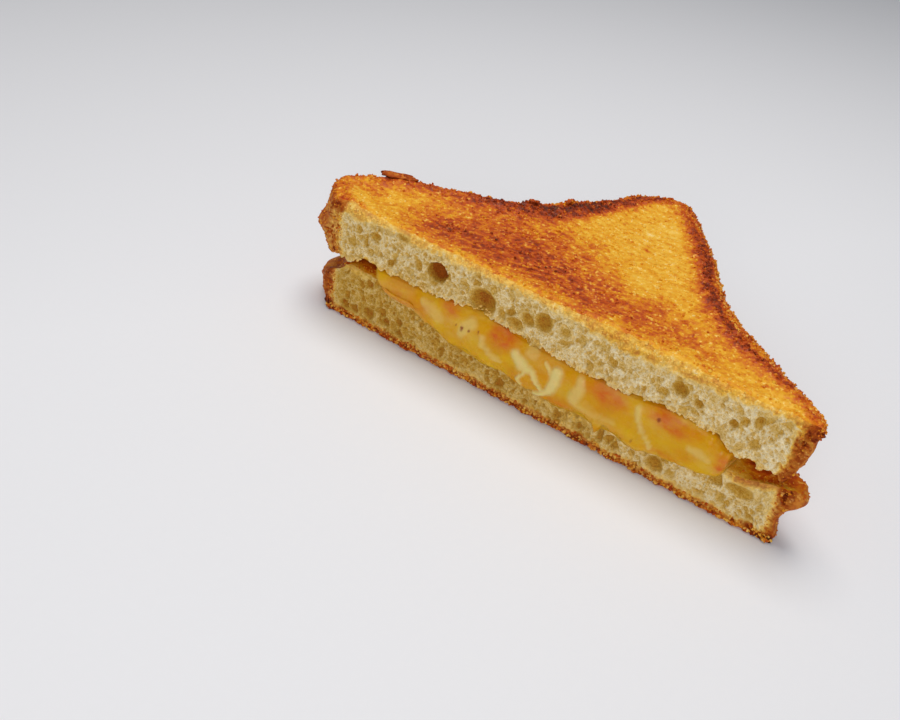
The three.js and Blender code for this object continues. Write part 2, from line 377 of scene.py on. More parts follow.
def fill_patch(loop, spacing, seed):
    """Loose even points inside a closed loop, and the triangles over the loop's and these points."""
    rng = np.random.default_rng(seed)
    loop = without_knots(loop)
    low, high = loop.min(0), loop.max(0)
    across = np.arange(low[0], high[0] + spacing, spacing)
    up = np.arange(low[1], high[1] + spacing, spacing * LINE_STEP)
    x, y = np.meshgrid(across, up)
    x[1::2] += spacing / 2
    spots = np.stack([x.ravel(), y.ravel()], -1)
    spots += rng.uniform(-LOOSENESS, LOOSENESS, spots.shape) * spacing
    inside = np.zeros(len(spots), bool)
    for (ax, ay), (bx, by) in zip(loop, np.roll(loop, -1, axis=0)):
        if ay != by:
            crosses = (ay > spots[:, 1]) != (by > spots[:, 1])
            inside ^= crosses & (spots[:, 0] < (bx - ax) * (spots[:, 1] - ay) / (by - ay) + ax)
    spots = spots[inside]
    spots = spots[nearest(spots, loop)[1] > spacing * BORDER_CLEAR]
    points = np.vstack([loop, spots])
    edges = [(k, (k + 1) % len(loop)) for k in range(len(loop))]
    vectors = [Vector(p) for p in points.tolist()]
    faces = np.array(delaunay_2d_cdt(vectors, edges, [], 1, 1e-7)[2])
    a, b, c = (points[faces[:, k]] for k in range(3))
    turned = cross(b - a, c - a) < 0
    faces[turned] = faces[turned][:, ::-1]
    return spots, faces


# The crumb's gas cells, from wide to fine: how wide, what share the knife has opened, and how deep.
CELL_LAYERS = rows("size open deep", (2.7, 0.34, 1.0), (1.6, 0.60, 0.75), (0.95, 0.80, 0.5))
CELL_WALL = 0.10
BOWL_SHAPE = 0.55


def packed_cells(seed, x, y, size):
    """Packed cells about size across: how far a place lies in from its cell's wall, and its chance."""
    own = np.random.default_rng(seed).random((256, 256, 3))
    u, v = x / size, y / size
    i, j = np.floor(u).astype(int), np.floor(v).astype(int)
    first, second, chance = np.full(u.shape, 9.0), np.full(u.shape, 9.0), np.zeros(u.shape)
    for step_i, step_j in itertools.product((-1, 0, 1), repeat=2):
        middle = own[(i + step_i) & 255, (j + step_j) & 255]
        away = np.hypot(i + step_i + middle[..., 0] - u, j + step_j + middle[..., 1] - v)
        second = np.minimum(second, np.maximum(first, away))
        chance = np.where(away < first, middle[..., 2], chance)
        first = np.minimum(first, away)
    return (second - first) * size / 2, chance


class CutCrumb:
    """The open gas cells that the knife cuts through, as a depth map over the cut."""

    GRID = 0.12
    REACH = 76

    def __init__(self, seed, low, high, holes):
        self.x = np.arange(-self.REACH, self.REACH, self.GRID)
        self.z = np.arange(low - 2, high + 2, self.GRID)
        x, z = np.meshgrid(self.x, self.z)
        warped_x = x + 0.55 * clouds(seed, x, z, 1.9)
        warped_z = z + 0.55 * clouds(seed + 1, x, z, 1.7)
        self.depth = np.zeros(x.shape)
        for index, layer in enumerate(CELL_LAYERS):
            inward, chance = packed_cells(seed + 10 + index, warped_x, warped_z * 0.88, layer["size"])
            share = np.clip((inward - CELL_WALL) / (0.22 * layer["size"]), 0, 1)
            deep = layer["deep"] * (0.35 + 0.65 * chance / layer["open"]) * (chance < layer["open"])
            deep = deep * lerp(1, 0.8 / layer["size"] ** 1.5, smoothstep(np.abs(x), 67, 70))
            self.depth = np.maximum(self.depth, deep * (1 - (1 - share) ** 2))
        for hole in holes:
            away = np.hypot((warped_x - hole["x"]) / hole["wide"], (warped_z - hole["z"]) / hole["high"])
            bowl = hole["deep"] * np.clip(1 - away**2, 0, 1) ** hole.get("soft", BOWL_SHAPE)
            bowl += 0.12 * np.sin(9 * away + 0.8 * z) * (away < 1)
            inside = smoothstep(away, 1.15, 0.85)
            self.depth = lerp(self.depth, np.maximum(bowl, self.depth * 0.25), inside)
        torn = clouds(seed + 2, x, z, 0.9)
        fibres = 0.24 * (1 - 2.4 * np.abs(torn)) + 0.14 * clouds(seed + 3, x, z, 0.5, 2)
        self.proud = fibres * smoothstep(self.depth, 0.8, 0.0)

    def read(self, field, x, z):
        u = np.clip((x - self.x[0]) / self.GRID, 0, len(self.x) - 1.001)
        v = np.clip((z - self.z[0]) / self.GRID, 0, len(self.z) - 1.001)
        j, i = u.astype(int), v.astype(int)
        u, v = u - j, v - i
        near = lerp(field[i, j], field[i, j + 1], u)
        far = lerp(field[i + 1, j], field[i + 1, j + 1], u)
        return lerp(near, far, v)


# How closely the points of each part of a slice stand, and which finish each part has.
CRUMB_SPACING = 0.275
FACE_SPACING = 0.45
CRUST_SPACING = 0.52
HIDDEN_SPACING = 1.1
FRIED_FACE, PLAIN_FACE, CRUST, CRUMB = range(4)


def bread_mesh(bread, seed):
    """A closed slice: crumb on its cut, a fried face, a plain face and crust round the rest."""
    fried_up = bread["fried"] == "upper"
    reach = np.linspace(0, CRUST_LENGTH, int(CRUST_LENGTH / CRUST_SPACING) + 1)
    cut_x = np.linspace(crust_way[-1, 0], crust_way[0, 0], int(CUT_LENGTH / CRUMB_SPACING) + 1)[1:-1]
    levels = np.linspace(0, 1, int(SLICE_THICK / CRUMB_SPACING / 1.3) + 1)[1:-1]
    around, across, up = len(reach), len(cut_x), len(levels)
    count = 2 * (around + across + up)

    def crust_ring(reach, level):
        """Places on the crust, with its belly and its relief."""
        at, out = crust_point(reach)
        low, high = bread["under"](at[:, 0], at[:, 1]), bread["over"](at[:, 0], at[:, 1])
        belly = CRUST_BELLY * np.sqrt(np.sin(np.pi * level).clip(0)) + bread["flare"](at, level)
        rounded = CRUST_EDGE_ROUND * np.abs(2 * level - 1) ** 6 * (at[:, 1] > 1e-6)
        rough = bread["crust_relief"](reach, level * SLICE_THICK, at)
        flat = at + out * (belly - rounded + rough)[:, None]
        return np.column_stack([flat, lerp(low, high, level) + bread["edge_lift"](reach, level)])

    def cut_face(x, level):
        """Places on the cut, sunk into its open cells and rolled over at its fried edge."""
        ends = smoothstep(CUT_END - np.abs(x), 0, 0.7)
        side = np.sign(x)
        lean = bread["flare"](np.column_stack([CUT_END * side, 0 * x]), level)
        x = x + side * lean * smoothstep(np.abs(x), 60, CUT_END)
        low = bread["under"](x, 0 * x) + bread["low_edge"](x) * (1 - level)
        high = bread["over"](x, 0 * x)
        z = lerp(low, high, level)
        crumb = bread["crumb"]
        clear = smoothstep(level * SLICE_THICK, 0.0, 0.9)
        clear = clear * smoothstep((1 - level) * SLICE_THICK, 0.0, 0.9 + 1.9 * fried_up)
        depth = crumb.read(crumb.depth, x, z) * lerp(0.35, 1, clear) * ends
        proud = crumb.read(crumb.proud, x, z) * ends
        wavy = 0.28 * clouds(seed + 5, x, z, 6.5) * ends
        roll = bread["roll"](x)
        climbed = np.clip((z - high + roll) / roll, 0, 1)
        rolled = (0.8 * roll + 0.7 * clouds(seed + 8, x, 0 * x, 2.2, 2)) * (1 - np.sqrt(1 - climbed**2))
        rolled = rolled * fried_up * ends
        uneven = 0.7 + 0.6 * clouds(seed + 6, x, 0 * x, 2.5)
        dragged = bread["foot_drag"] * smoothstep(z, 2.4, 0.2) * uneven
        return np.column_stack([x, depth - proud + wavy + rolled - dragged * ends, z])

    # The borders that two parts of the slice share, and where each stands in the list of points.
    points = np.vstack([
        crust_ring(reach, np.ones(around)), crust_ring(reach, np.zeros(around)),
        cut_face(cut_x, np.ones(across)), cut_face(cut_x, np.zeros(across)),
        crust_ring(np.zeros(up), levels), crust_ring(np.full(up, CRUST_LENGTH), levels),
    ])
    ring_high, ring_low, cut_high, cut_low, left_edge, right_edge = np.split(
        np.arange(count), np.cumsum([around, around, across, across, up]))
    triangles, extra, kinds = [], [], []

    def add_patch(loop, flat_loop, spacing, place, kind, flip, seed):
        """Fills a loop of border points that is laid out flat, and puts its inner points in place."""
        spots, faces = fill_patch(flat_loop, spacing, seed)
        start = count + sum(len(e) for e in extra)
        faces = np.concatenate([loop, np.arange(start, start + len(spots))])[faces]
        triangles.append(faces[:, ::-1] if flip else faces)
        extra.append(place(spots))
        kinds.append(np.full(len(faces), kind))

    def add_face(side, ring, cut, fried, flip, seed):
        """An upper or lower face. The crust's relief and the cut's waves fade out over it."""
        base = points[ring][:, :2]
        soft = base.copy()
        for _ in range(6):
            soft[1:-1] = (soft[:-2] + soft[1:-1] * 2 + soft[2:]) / 4

        def place(spots):
            near, apart = nearest(spots, base)
            z = bread[side](*spots.T) + bread[side + "_grain"](*spots.T)
            moved = spots + (base - soft)[near] * (1 - smoothstep(apart, 0.3, 2.2))[:, None] * 0.6
            into = np.interp(spots[:, 0], *points[cut][::-1, :2].T)
            moved[:, 1] += into * (1 - smoothstep(spots[:, 1], 0.2, 6.0))
            return np.column_stack([moved, z])

        loop = np.concatenate([ring, cut])
        flat = points[loop][:, :2].copy()
        flat[around:, 1] = 0
        spacing, finish = (FACE_SPACING, FRIED_FACE) if fried else (HIDDEN_SPACING, PLAIN_FACE)
        add_patch(loop, flat, spacing, place, finish, flip, seed)

    add_face("over", ring_high, cut_high, fried_up, False, seed)
    add_face("under", ring_low, cut_low, not fried_up, True, seed + 1)

    def add_wall(along, low, high, place, spacing, kind, flip, seed):
        """A wall between the two faces, laid flat as its length along and its height."""
        height = levels * SLICE_THICK
        flat = np.vstack([
            np.column_stack([along, 0 * along]), np.column_stack([np.full(up, along[-1]), height]),
            np.column_stack([along[::-1], 0 * along + SLICE_THICK]),
            np.column_stack([np.full(up, along[0]), height[::-1]]),
        ])
        loop = np.concatenate([low, right_edge, high[::-1], left_edge[::-1]])
        add_patch(loop, flat, spacing, lambda spots: place(spots[:, 0], spots[:, 1] / SLICE_THICK),
                  kind, flip, seed)

    # The crust runs round from the cut's left end to its right, and the cut joins its two ends.
    add_wall(reach, ring_low, ring_high, crust_ring, CRUST_SPACING, CRUST, True, seed + 2)
    along = np.concatenate([crust_way[:1, 0], cut_x[::-1], crust_way[-1:, 0]])
    low, high = (np.concatenate([ring[:1], cut[::-1], ring[-1:]])
                 for ring, cut in ((ring_low, cut_low), (ring_high, cut_high)))
    add_wall(along, low, high, cut_face, CRUMB_SPACING, CRUMB, False, seed + 3)

    points = np.vstack([points, *extra])
    return points, np.vstack(triangles), np.concatenate(kinds)


def part_frame(points):
    """Millimetres along the cut as metres in the part's frame."""
    return points * MILLIMETRE + np.array(CUT_MIDDLE)


def add_values(mesh, **values):
    """Gives each point of a mesh a value under each name."""
    for name, numbers in values.items():
        mesh.attributes.new(name, "FLOAT", "POINT").data.foreach_set("value", numbers.astype(np.float32))


def make_object(name, points, triangles, values, materials, kinds=None):
    """A smooth mesh in the part's frame, with values such as its browning at each point."""
    mesh = bpy.data.meshes.new(name)
    mesh.from_pydata(part_frame(points).tolist(), [], triangles.tolist())
    add_values(mesh, **values)
    for material in materials:
        mesh.materials.append(material)
    if kinds is not None:
        mesh.polygons.foreach_set("material_index", kinds.astype(np.int32))
    mesh.shade_smooth()
    mesh.update()
    piece = bpy.data.objects.new(name, mesh)
    bpy.context.scene.collection.objects.link(piece)
    return piece


# Fried bread goes from pale crumb through butter gold and red brown to burnt, and baked crust is less
# golden. Crumb is painted tan deep in its cells, as painted shade. The browning is in the attribute
# toast, and how deep a place lies in a gas cell is in pit, which the materials turn into that shade.
BROWNING = [
    (0.00, (246, 226, 174)),
    (0.10, (244, 208, 118)),
    (0.20, (236, 186, 62)),
    (0.32, (226, 160, 24)),
    (0.45, (210, 118, 12)),
    (0.60, (186, 74, 6)),
    (0.78, (136, 46, 6)),
    (1.00, (84, 30, 10)),
]
CRUMB_SHADES = [
    (0.00, (255, 241, 204)),
    (0.18, (246, 219, 158)),
    (0.40, (220, 180, 90)),
    (0.62, (196, 146, 46)),
    (1.00, (158, 82, 18)),
]
CRUST_SHADES = [
    (0.00, (246, 226, 174)),
    (0.10, (255, 222, 134)),
    (0.20, (255, 206, 78)),
    (0.32, (222, 152, 54)),
    (0.45, (198, 117, 38)),
    (0.60, (172, 79, 17)),
    (0.80, (128, 46, 10)),
    (1.00, (84, 30, 10)),
]
# The colour of loose pale grains, which also stands for painted highlights of small glints.
PALE_GRAIN_AND_GLINT = (242, 190, 118)


def colour_ramp(tree, factor, stops):
    ramp = add_node(tree, "ValToRGB", {"Fac": factor})
    for at, _ in stops[1:-1]:
        ramp.color_ramp.elements.new(at)
    for element, (at, colour) in zip(ramp.color_ramp.elements, stops):
        element.position = at
        element.color = shade(*colour)
    return ramp.outputs["Color"]


def point_value(tree, name):
    return add_node(tree, "Attribute", attribute_name=name).outputs["Fac"]


def cell_walls(tree):
    """Walls between cells too fine for the mesh, and fibres of crumb, from 0 to 1."""
    place = add_node(tree, "TexCoord").outputs["Object"]
    noise = add_node(tree, "TexNoise", {"Vector": place, "Scale": 900, "Detail": 2}).outputs["Color"]
    sockets = {0: noise, 1: (0.0011,) * 3, 2: place}
    bent = add_node(tree, "VectorMath", sockets, operation="MULTIPLY_ADD").outputs[0]
    sockets = {"Vector": bent, "Scale": 1250}
    walls = add_node(tree, "TexVoronoi", sockets, feature="DISTANCE_TO_EDGE").outputs["Distance"]
    walls = remap(tree, walls, 0.02, 0.22, 0.7, 0.0)
    fibre = maths(tree, "ABSOLUTE", maths(tree, "SUBTRACT", grain(tree, 0.0009, detail=3), 0.5))
    return maths(tree, "MAXIMUM", walls, remap(tree, fibre, 0.0, 0.06, 1.0, 0.0))


def bread_material(name, contrast, dull, shiny, dented, gleam=0.15, cells=False, shades=CRUST_SHADES,
                   flecks_and_glints=0.8):
    """Bread of any browning: how far its tone varies, its roughness, its dents and its cell walls."""
    material, tree, shader = new_material(name, IOR=1.42, Specular_IOR_Level=gleam)
    toast, pit = point_value(tree, "toast"), point_value(tree, "pit")
    grains = grain(tree, 0.0010, detail=2.5, rough=0.65)
    strokes = grain(tree, 0.0014, detail=2, rough=0.6, stretch=(0.55, 1, 1))
    patches = grain(tree, 0.0045, detail=3)

    # Browning varies from grain to grain and along short strokes, most where the bread is fried.
    strength = maths(tree, "MULTIPLY_ADD", toast, contrast, contrast * 0.12)
    uneven = maths(tree, "ADD", grains, maths(tree, "MULTIPLY", strokes, 0.8))
    uneven = maths(tree, "ADD", uneven, maths(tree, "MULTIPLY", patches, 0.4))
    uneven = maths(tree, "SUBTRACT", uneven, 1.1)
    tone = maths(tree, "MULTIPLY_ADD", uneven, strength, toast)

    # Loose pale grains, partly painted highlights of small glints, and small dark specks lie on it.
    pale = remap(tree, grain(tree, 0.0008, detail=1.5), 0.60, 0.72, 0.0, 0.6)
    pale = maths(tree, "MULTIPLY", pale, remap(tree, toast, 0.5, 0.75, 1.0, 0.33))
    dark = remap(tree, grain(tree, 0.0016, detail=1.5), 0.70, 0.76, 0.0, 0.55)
    specks = maths(tree, "MULTIPLY", maths(tree, "SUBTRACT", dark, pale), toast)
    tone = maths(tree, "MULTIPLY_ADD", specks, contrast * 0.9, tone)
    scorched = remap(tree, toast, 0.2, 0.42)
    # Painted shade: where the bread is browned, deep places in its cells are painted darker brown.
    tone = maths(tree, "MULTIPLY_ADD", maths(tree, "MULTIPLY", pit, scorched), 0.5, tone, clamp=True)
    colour = colour_ramp(tree, tone, shades)
    grains_and_glints = maths(tree, "MULTIPLY", maths(tree, "MULTIPLY", pale, toast), flecks_and_glints)
    colour = blend(tree, grains_and_glints, colour, shade(*PALE_GRAIN_AND_GLINT))

    # Painted shade: gas cells are darkened to tan inside, where shade falls, and their thin walls are
    # painted pale, as painted light, where the knife left them standing.
    fine_grain = grain(tree, 0.00035, detail=3, rough=0.65)
    height = maths(tree, "MULTIPLY_ADD", fine_grain, 0.45, grains)
    sunk = maths(tree, "MULTIPLY", pit, 1.4, clamp=True)
    sunk = maths(tree, "MULTIPLY", sunk, maths(tree, "SUBTRACT", 1.0, scorched))
    colour = blend(tree, sunk, colour, colour_ramp(tree, pit, CRUMB_SHADES))
    if cells:
        walls = cell_walls(tree)
        height = maths(tree, "MULTIPLY_ADD", walls, 0.7, height)
        shaded = maths(tree, "MULTIPLY_ADD", walls, -0.26, maths(tree, "ADD", pit, 0.22))
        shaded = maths(tree, "MULTIPLY_ADD", maths(tree, "SUBTRACT", fine_grain, 0.5), 0.4, shaded)
        crumb = colour_ramp(tree, shaded, CRUMB_SHADES)
        colour = blend(tree, remap(tree, tone, 0.04, 0.24), crumb, colour)
    tree.links.new(colour, shader.inputs["Base Color"])
    tree.links.new(remap(tree, grains, 0.35, 0.65, dull, shiny), shader.inputs["Roughness"])
    dent(tree, shader, height, 0.0004, dented)
    return material


fried_face = bread_material("fried_face", contrast=1.0, dull=0.62, shiny=0.32, dented=0.75, gleam=0.26,
                            shades=BROWNING)
plain_face = bread_material("plain_face", contrast=0.8, dull=0.8, shiny=0.6, dented=0.7, shades=BROWNING)
crust_skin = bread_material("crust_skin", contrast=0.7, dull=0.75, shiny=0.5, dented=0.7, flecks_and_glints=0.45)
cut_crumb = bread_material("cut_crumb", contrast=0.7, dull=0.85, shiny=0.7, dented=0.8, cells=True)
BREAD_FINISHES = [fried_face, plain_face, crust_skin, cut_crumb]

LOWER_HOLES = rows(
    "x z wide high deep soft",
    (72.2, 14.4, 0.7, 2.4, 1.2),
    (39.3, 4.9, 2.9, 2.7, 1.6, 0.9),
    (62.1, 10.3, 4.6, 2.1, 1.2, 0.9),
    (-57.0, 5.0, 2.6, 2.6, 1.0, 0.9),
)


def crust_roughness(seed):
    """Small wrinkles and pinholes of a baked crust, with crumbly edges and a torn left end."""
    def relief(reach, height, at):
        skin = 0.26 * clouds(seed, reach, height, 1.5) + 0.3 * clouds(seed + 1, reach, height, 9)
        pinholes = -0.35 * smoothstep(cloud(seed + 2, reach, height, 1.1), 0.4, 0.8)
        teeth = 1.5 * np.maximum(clouds(seed + 3, reach, height * 0.6, 1.5, 2) + 0.05, 0)
        edges = smoothstep(np.abs(height / SLICE_THICK - 0.5), 0.40, 0.49)
        left_end = smoothstep(-at[:, 0], 60, 68) * smoothstep(at[:, 1], 11, 4)
        ends = 1.15 * clouds(seed + 4, reach, height, 1.9) * left_end
        return skin + pinholes + ends - 0.25 + teeth * edges
    return relief


def lower_over(x, y):
    """The upper face: pressed down under the cheese, which stops further in at the cut's left end."""
    start = 1 + 5.5 * smoothstep(-x, 30, 50)
    held_up = 8.5 * smoothstep(-x, 38, 54) * bump(y, 0, 15)
    pressed = smoothstep(crust_distance(x, y), start + held_up, PRESSED_FROM + 1.3 * held_up)
    return LOWER_SLICE_TOP + 0.6 * bump(x, -65, 6) * bump(y, 0, 10) - CHEESE_PRESS * pressed


def edge_crumbs(seed):
    """How far the crumbly upper and lower edges of a crust stand up or down."""
    def lift(reach, level):
        ragged = 0.5 * clouds(seed, reach, 0 * reach, 1.4)
        return ragged * smoothstep(level, 0.9, 1) + np.abs(ragged) * smoothstep(level, 0.1, 0)
    return lift


def lower_flare(at, level):
    """The right end rolls outward in a lobe over a drawn-in foot, and the left end's top is rounded."""
    x, y = at[:, 0], at[:, 1]
    lobe = 3.5 * bump(x, 74, 6) * smoothstep(y, -1.5, 4) * smoothstep(level, 0.45, 0.85)
    foot = bump(x, 74, 7) * (2.0 * bump(level, 0.36, 0.22) + 1.4 * bump(level, 0.58, 0.16))
    start = lerp(0.64, 0.38, smoothstep(y, 0, 6))
    return lobe - foot - 6.4 * smoothstep(-x, 64, 72) * smoothstep(level, start, start + 0.36)


lower_slice = {
    "fried": "lower",
    "foot_drag": 0.9,
    "roll": lambda x: 0 * x + 1,
    "under": lambda x, y: 0 * x,
    "over": lower_over,
    "flare": lower_flare,
    "crumb": CutCrumb(11, 0, 17, LOWER_HOLES),
    "crust_relief": crust_roughness(21),
    "edge_lift": edge_crumbs(23),
    "low_edge": lambda x: 1.5 * np.abs(clouds(24, x, 0 * x, 1.8)),
    "over_grain": lambda x, y: 0.25 * clouds(25, x, y, 1.6),
    "under_grain": lambda x, y: np.abs(0.30 * clouds(26, x, y, 1.3)),
}
points, triangles, kinds = bread_mesh(lower_slice, 31)
x, y, z = points.T
inside = crust_distance(x, y)


def crumb_pits(bread, points):
    """How deep each point lies in an open cell of the cut, from 0 to 1."""
    crumb = bread["crumb"]
    depth = crumb.read(crumb.depth, points[:, 0], points[:, 2])
    cells = 0.55 * np.clip(depth / 1.2, 0, 1) ** 0.8 + 0.45 * smoothstep(depth, 1.2, 3.0)
    return cells * smoothstep(points[:, 1], 6, 4.5)


def vertex_kinds(count, triangles, kinds):
    """The finish that each point belongs to, the crumb's last."""
    kind = np.zeros(count, int)
    for finish in (PLAIN_FACE, CRUST, FRIED_FACE, CRUMB):
        kind[triangles[kinds == finish].ravel()] = finish
    return kind


kind = vertex_kinds(len(points), triangles, kinds)
fried_tones = 0.5 + 0.22 * clouds(41, x, y, 14) + 0.3 * bump(inside, 3, 3)
plain = 0.12 + 0.5 * smoothstep(inside, 9, 2) + 0.42 * smoothstep(-x, 52, 60)
plain += 0.34 * smoothstep(x, 52, 66)
soaked = smoothstep(y + 1.5 * clouds(49, x, y, 2), 3.5, 0.5)
plain = lerp(np.minimum(plain, 0.62), 0.2, soaked)
crust_tone = 0.53 + 0.09 * clouds(42, x + y, z, 5) + 0.12 * clouds(45, x + y, z, 1.5)
foot = z + 0.8 * clouds(44, x, z, 2.5)
cut_tone = 0.02 + 0.28 * smoothstep(foot, 2.6, 0.8) + 0.16 * smoothstep(foot, 5, 1.6)
higher_up = 0.16 * bump(x, 11, 13) * smoothstep(foot, 3, 7)
cut_tone += higher_up + 0.12 * bump(x, 62, 9) * smoothstep(foot, 9, 13)
skin = smoothstep(np.abs(x) + 1.2 * clouds(43, x, z, 1.6), 69.0, 72.4)
pores = smoothstep(cloud(48, x, z, 0.75), 0.3, 0.7)
cut_tone += skin * (0.41 + 0.10 * clouds(46, x, z, 0.8, 2) + 0.18 * pores)
near_top = smoothstep(lower_over(x, 0 * x) - z + 1.0 * clouds(47, x, z, 2), 3.0, 0.6)
cut_tone += near_top * (0.22 * smoothstep(x, 54, 60) + 0.2 * smoothstep(-x, 54, 62))
cut_tone += 0.3 * smoothstep(x, 66, 70) * smoothstep(foot, 3.0, 1.0)
toast = np.choose(kind, [fried_tones, plain, crust_tone, cut_tone])
# Painted shade: the lower crumb counts as deeper in its cells towards its left, which darkens it there as
# the shade it lies in.
tan = 0.04 + 0.22 * smoothstep(x, 42, 12)
pit = np.where(kind == CRUMB, tan + crumb_pits(lower_slice, points), 0)
lower_points, lower_kind = points, kind
lower_bread = make_object("lower_slice_bread", points, triangles, {"toast": toast, "pit": pit},
                          BREAD_FINISHES, kinds)
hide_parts("lower_bread_slice")
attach(lower_bread, "root")


# The cheese is a sheet melted between the slices. It stops short of the crust, and where the knife
# went through it hangs over the cut as a lip.
UPPER_SLICE_BASE = 19.8
CHEESE_LIFT = 1.9
TOUCHING_GAP = 0.45
CHEESE_INSET = 11
CHEESE_EDGE_ROUND = 1.1
CHEESE_SPACING = 1.4
CHEESE_FACE_SPACING = 1.6
LIP_SPACING = 0.32
LIP_STEPS = 54
CHEESE_SWELL = 0.55
LIP_START = (-60.5, -48)
LIP_END = (61, 56)
FACE_MIDDLE = np.array((-3.0, 27.0))

# The lip's lower edge over the cut, as place along it and height.
LIP_EDGE = np.array([
    (-59, 17.4), (-55, 16.6), (-52, 15.2), (-47, 15.4), (-40, 14.3), (-36, 12.5), (-31.5, 11.3),
    (-27, 10.0), (-20, 9.0), (-8, 9.2), (3.5, 7.8), (10, 7.7), (16, 8.3), (20.2, 8.2), (21.6, 5.9),
    (23.2, 8.1), (27, 7.9), (30.5, 7.0), (38, 8.0), (45.5, 9.6), (50.5, 9.4), (55, 11.2), (57.4, 14.6),
])

# Up the lip's section: how far it stands out, and its height over the lip's edge, tucked in under it
# or as a share of the way up the cheese.
LIP_SECTION = [
    {"out": 0.3, "share": 0.03},
    {"out": 0.3, "tuck": 0.9},
    {"out": 0.7, "over": 0},
    {"out": 1.4, "over": 0.6},
    {"out": 2.0, "over": 2.6},
    {"out": 2.0, "share": 0.3},
    {"out": 1.5, "share": 0.7},
    {"out": 0.4, "share": 0.96},
]


def upper_under(x, y):
    over_cheese = smoothstep(crust_distance(x, y), 5.5, PRESSED_FROM)
    over_cheese = over_cheese * (1 - 0.9 * smoothstep(x, 51, 55) * bump(y, 0, 9))
    arch = 2.2 * bump(x, -20, 15) + 1.8 * bump(x, 43, 11)
    return UPPER_SLICE_BASE + (CHEESE_LIFT + np.exp(-y / 40) * arch) * over_cheese


def place_inside(at, depth):
    """Each place moved towards the face's middle until it stands clear of the crust by a depth."""
    near, far = np.zeros(len(at)), np.ones(len(at))
    clear = crust_distance(*at.T) >= depth
    for _ in range(22):
        half = (near + far) / 2
        spot = lerp(at, FACE_MIDDLE, half[:, None])
        short = crust_distance(*spot.T) < depth
        near, far = np.where(short, half, near), np.where(short, far, half)
    far[clear] = 0
    return lerp(at, FACE_MIDDLE, far[:, None])


def lip_low(x):
    rough = 0.3 * np.sin(x / 1.9) + 0.25 * clouds(50, x, 0 * x, 1.6)
    return np.interp(x, *LIP_EDGE.T) + rough


def soft_curve(knots, shares):
    """A smooth curve through rows of knots, read at shares of the way from the first to the last."""
    last = len(knots) - 1
    spot = np.clip(shares * last, 0, last - 1e-9)
    i = spot.astype(int)
    t = (spot - i)[:, None, None]
    before, here = knots[np.maximum(i - 1, 0)], knots[i]
    after, beyond = knots[i + 1], knots[np.minimum(i + 2, last)]
    bend = (2 * before - 5 * here + 4 * after - beyond) * t**2
    bend += (3 * (here - after) + beyond - before) * t**3
    return here + ((after - before) * t + bend) / 2


# Strands of paler cheese in the lip: how far they stand out, how pale they are, their way over the
# cut and their half width along it.
PALE_STRANDS = rows(
    "rise pale way wide",
    (0.6, 1.0,
     [(-5.4, 17.6), (-3.6, 16.2), (-1.4, 15.4), (0.5, 15.2), (1.5, 13.8), (2.8, 11.8), (4.2, 10.6)],
     [1.5, 1.9, 1.3, 0.9, 0.9, 0.7, 0.5]),
    (0.7, 1.0,
     [(7.4, 18.6), (7.5, 16), (7.0, 13.6), (6.3, 11.8), (4.8, 10.2), (3.2, 9.5), (1.9, 9.3)],
     [1.5, 1.5, 1.3, 1.2, 0.9, 0.7, 0.4]),
    (0.4, 0.7, [(3.4, 19.8), (5.2, 18.2), (6.6, 16.6)], [0.4, 0.6, 0.8]),
    (0.5, 0.9, [(-1.9, 13.4), (-2.9, 11.9), (-3.4, 10.8), (-2.2, 9.9)], [0.5, 0.5, 0.6, 0.5]),
    (0.35, 0.4, [(-37.5, 19.8), (-34.5, 18.6), (-31.2, 17.2)], [0.8, 2.0, 1.7]),
    (0.2, 0.15, [(-54, 18.0), (-49, 19.6), (-42, 20.4)], [1.4, 1.7, 1.2]),
    (0.35, 0.55, [(-20.5, 20.4), (-22.5, 18.4), (-23.5, 15.6)], [1.6, 1.7, 1.2]),
    (0.3, 0.5, [(-16.6, 18.0), (-16.4, 15.6), (-13, 13.8), (-9.8, 13.2)], [0.9, 1.0, 0.8, 0.5]),
    (0.3, 0.45, [(-1.2, 22.4), (-0.9, 20.4)], [1.4, 1.8]),
    (0.35, 0.6, [(14.4, 19.6), (14.9, 17.6), (13.8, 13.4)], [1.1, 1.4, 1.9]),
    (0.25, 0.35, [(15, 12.2), (20.5, 11.6), (26, 12.3)], [1.3, 1.0, 0.7]),
    (0.35, 0.6, [(31.5, 20.1), (32.4, 17.1), (33.8, 14.9), (35.4, 13), (37.2, 10.8)],
     [0.9, 0.9, 0.7, 0.6, 0.6]),
    (0.2, 0.45, [(47, 16.4), (50, 16.2), (52.4, 15.6)], [0.9, 1.2, 0.8]),
    (1.1, 0.25, [(57.4, 16.4), (58.6, 15.8)], [0.8, 0.9]),
)
# Orange patches of the cheese: middle, reach both ways and strength. The two at the left, at -46 and -43,
# are painted shade that darkens the cheese there.
WARM_AND_SHADE_PATCHES = rows(
    "x z wide high warm",
    (-28.4, 21.6, 3.4, 2.4, 0.8),
    (-46.0, 16.4, 9.0, 2.4, 0.5),
    (-10.5, 20.8, 4.2, 3.6, 1.0),
    (22.5, 19.6, 6.0, 3.2, 0.9),
    (40.5, 20.4, 6.5, 2.8, 0.9),
    (-43.0, 18.5, 12.0, 4.0, 0.3),
    (55.6, 16.0, 1.9, 3.2, 0.9),
    (10.0, 9.2, 4.0, 1.3, 0.6),
    (41.0, 10.4, 5.0, 1.0, 0.4),
)
BURNT_SPECKS = rows(
    "x z wide",
    (-25.3, 17.5, 0.4), (-23.3, 17.6, 0.75), (-20.9, 18.0, 0.5), (-17.9, 18.9, 0.45), (23.7, 9.5, 0.35),
    (32.2, 10.4, 0.5), (29.2, 8.8, 0.3), (37.3, 19.8, 0.7),
)


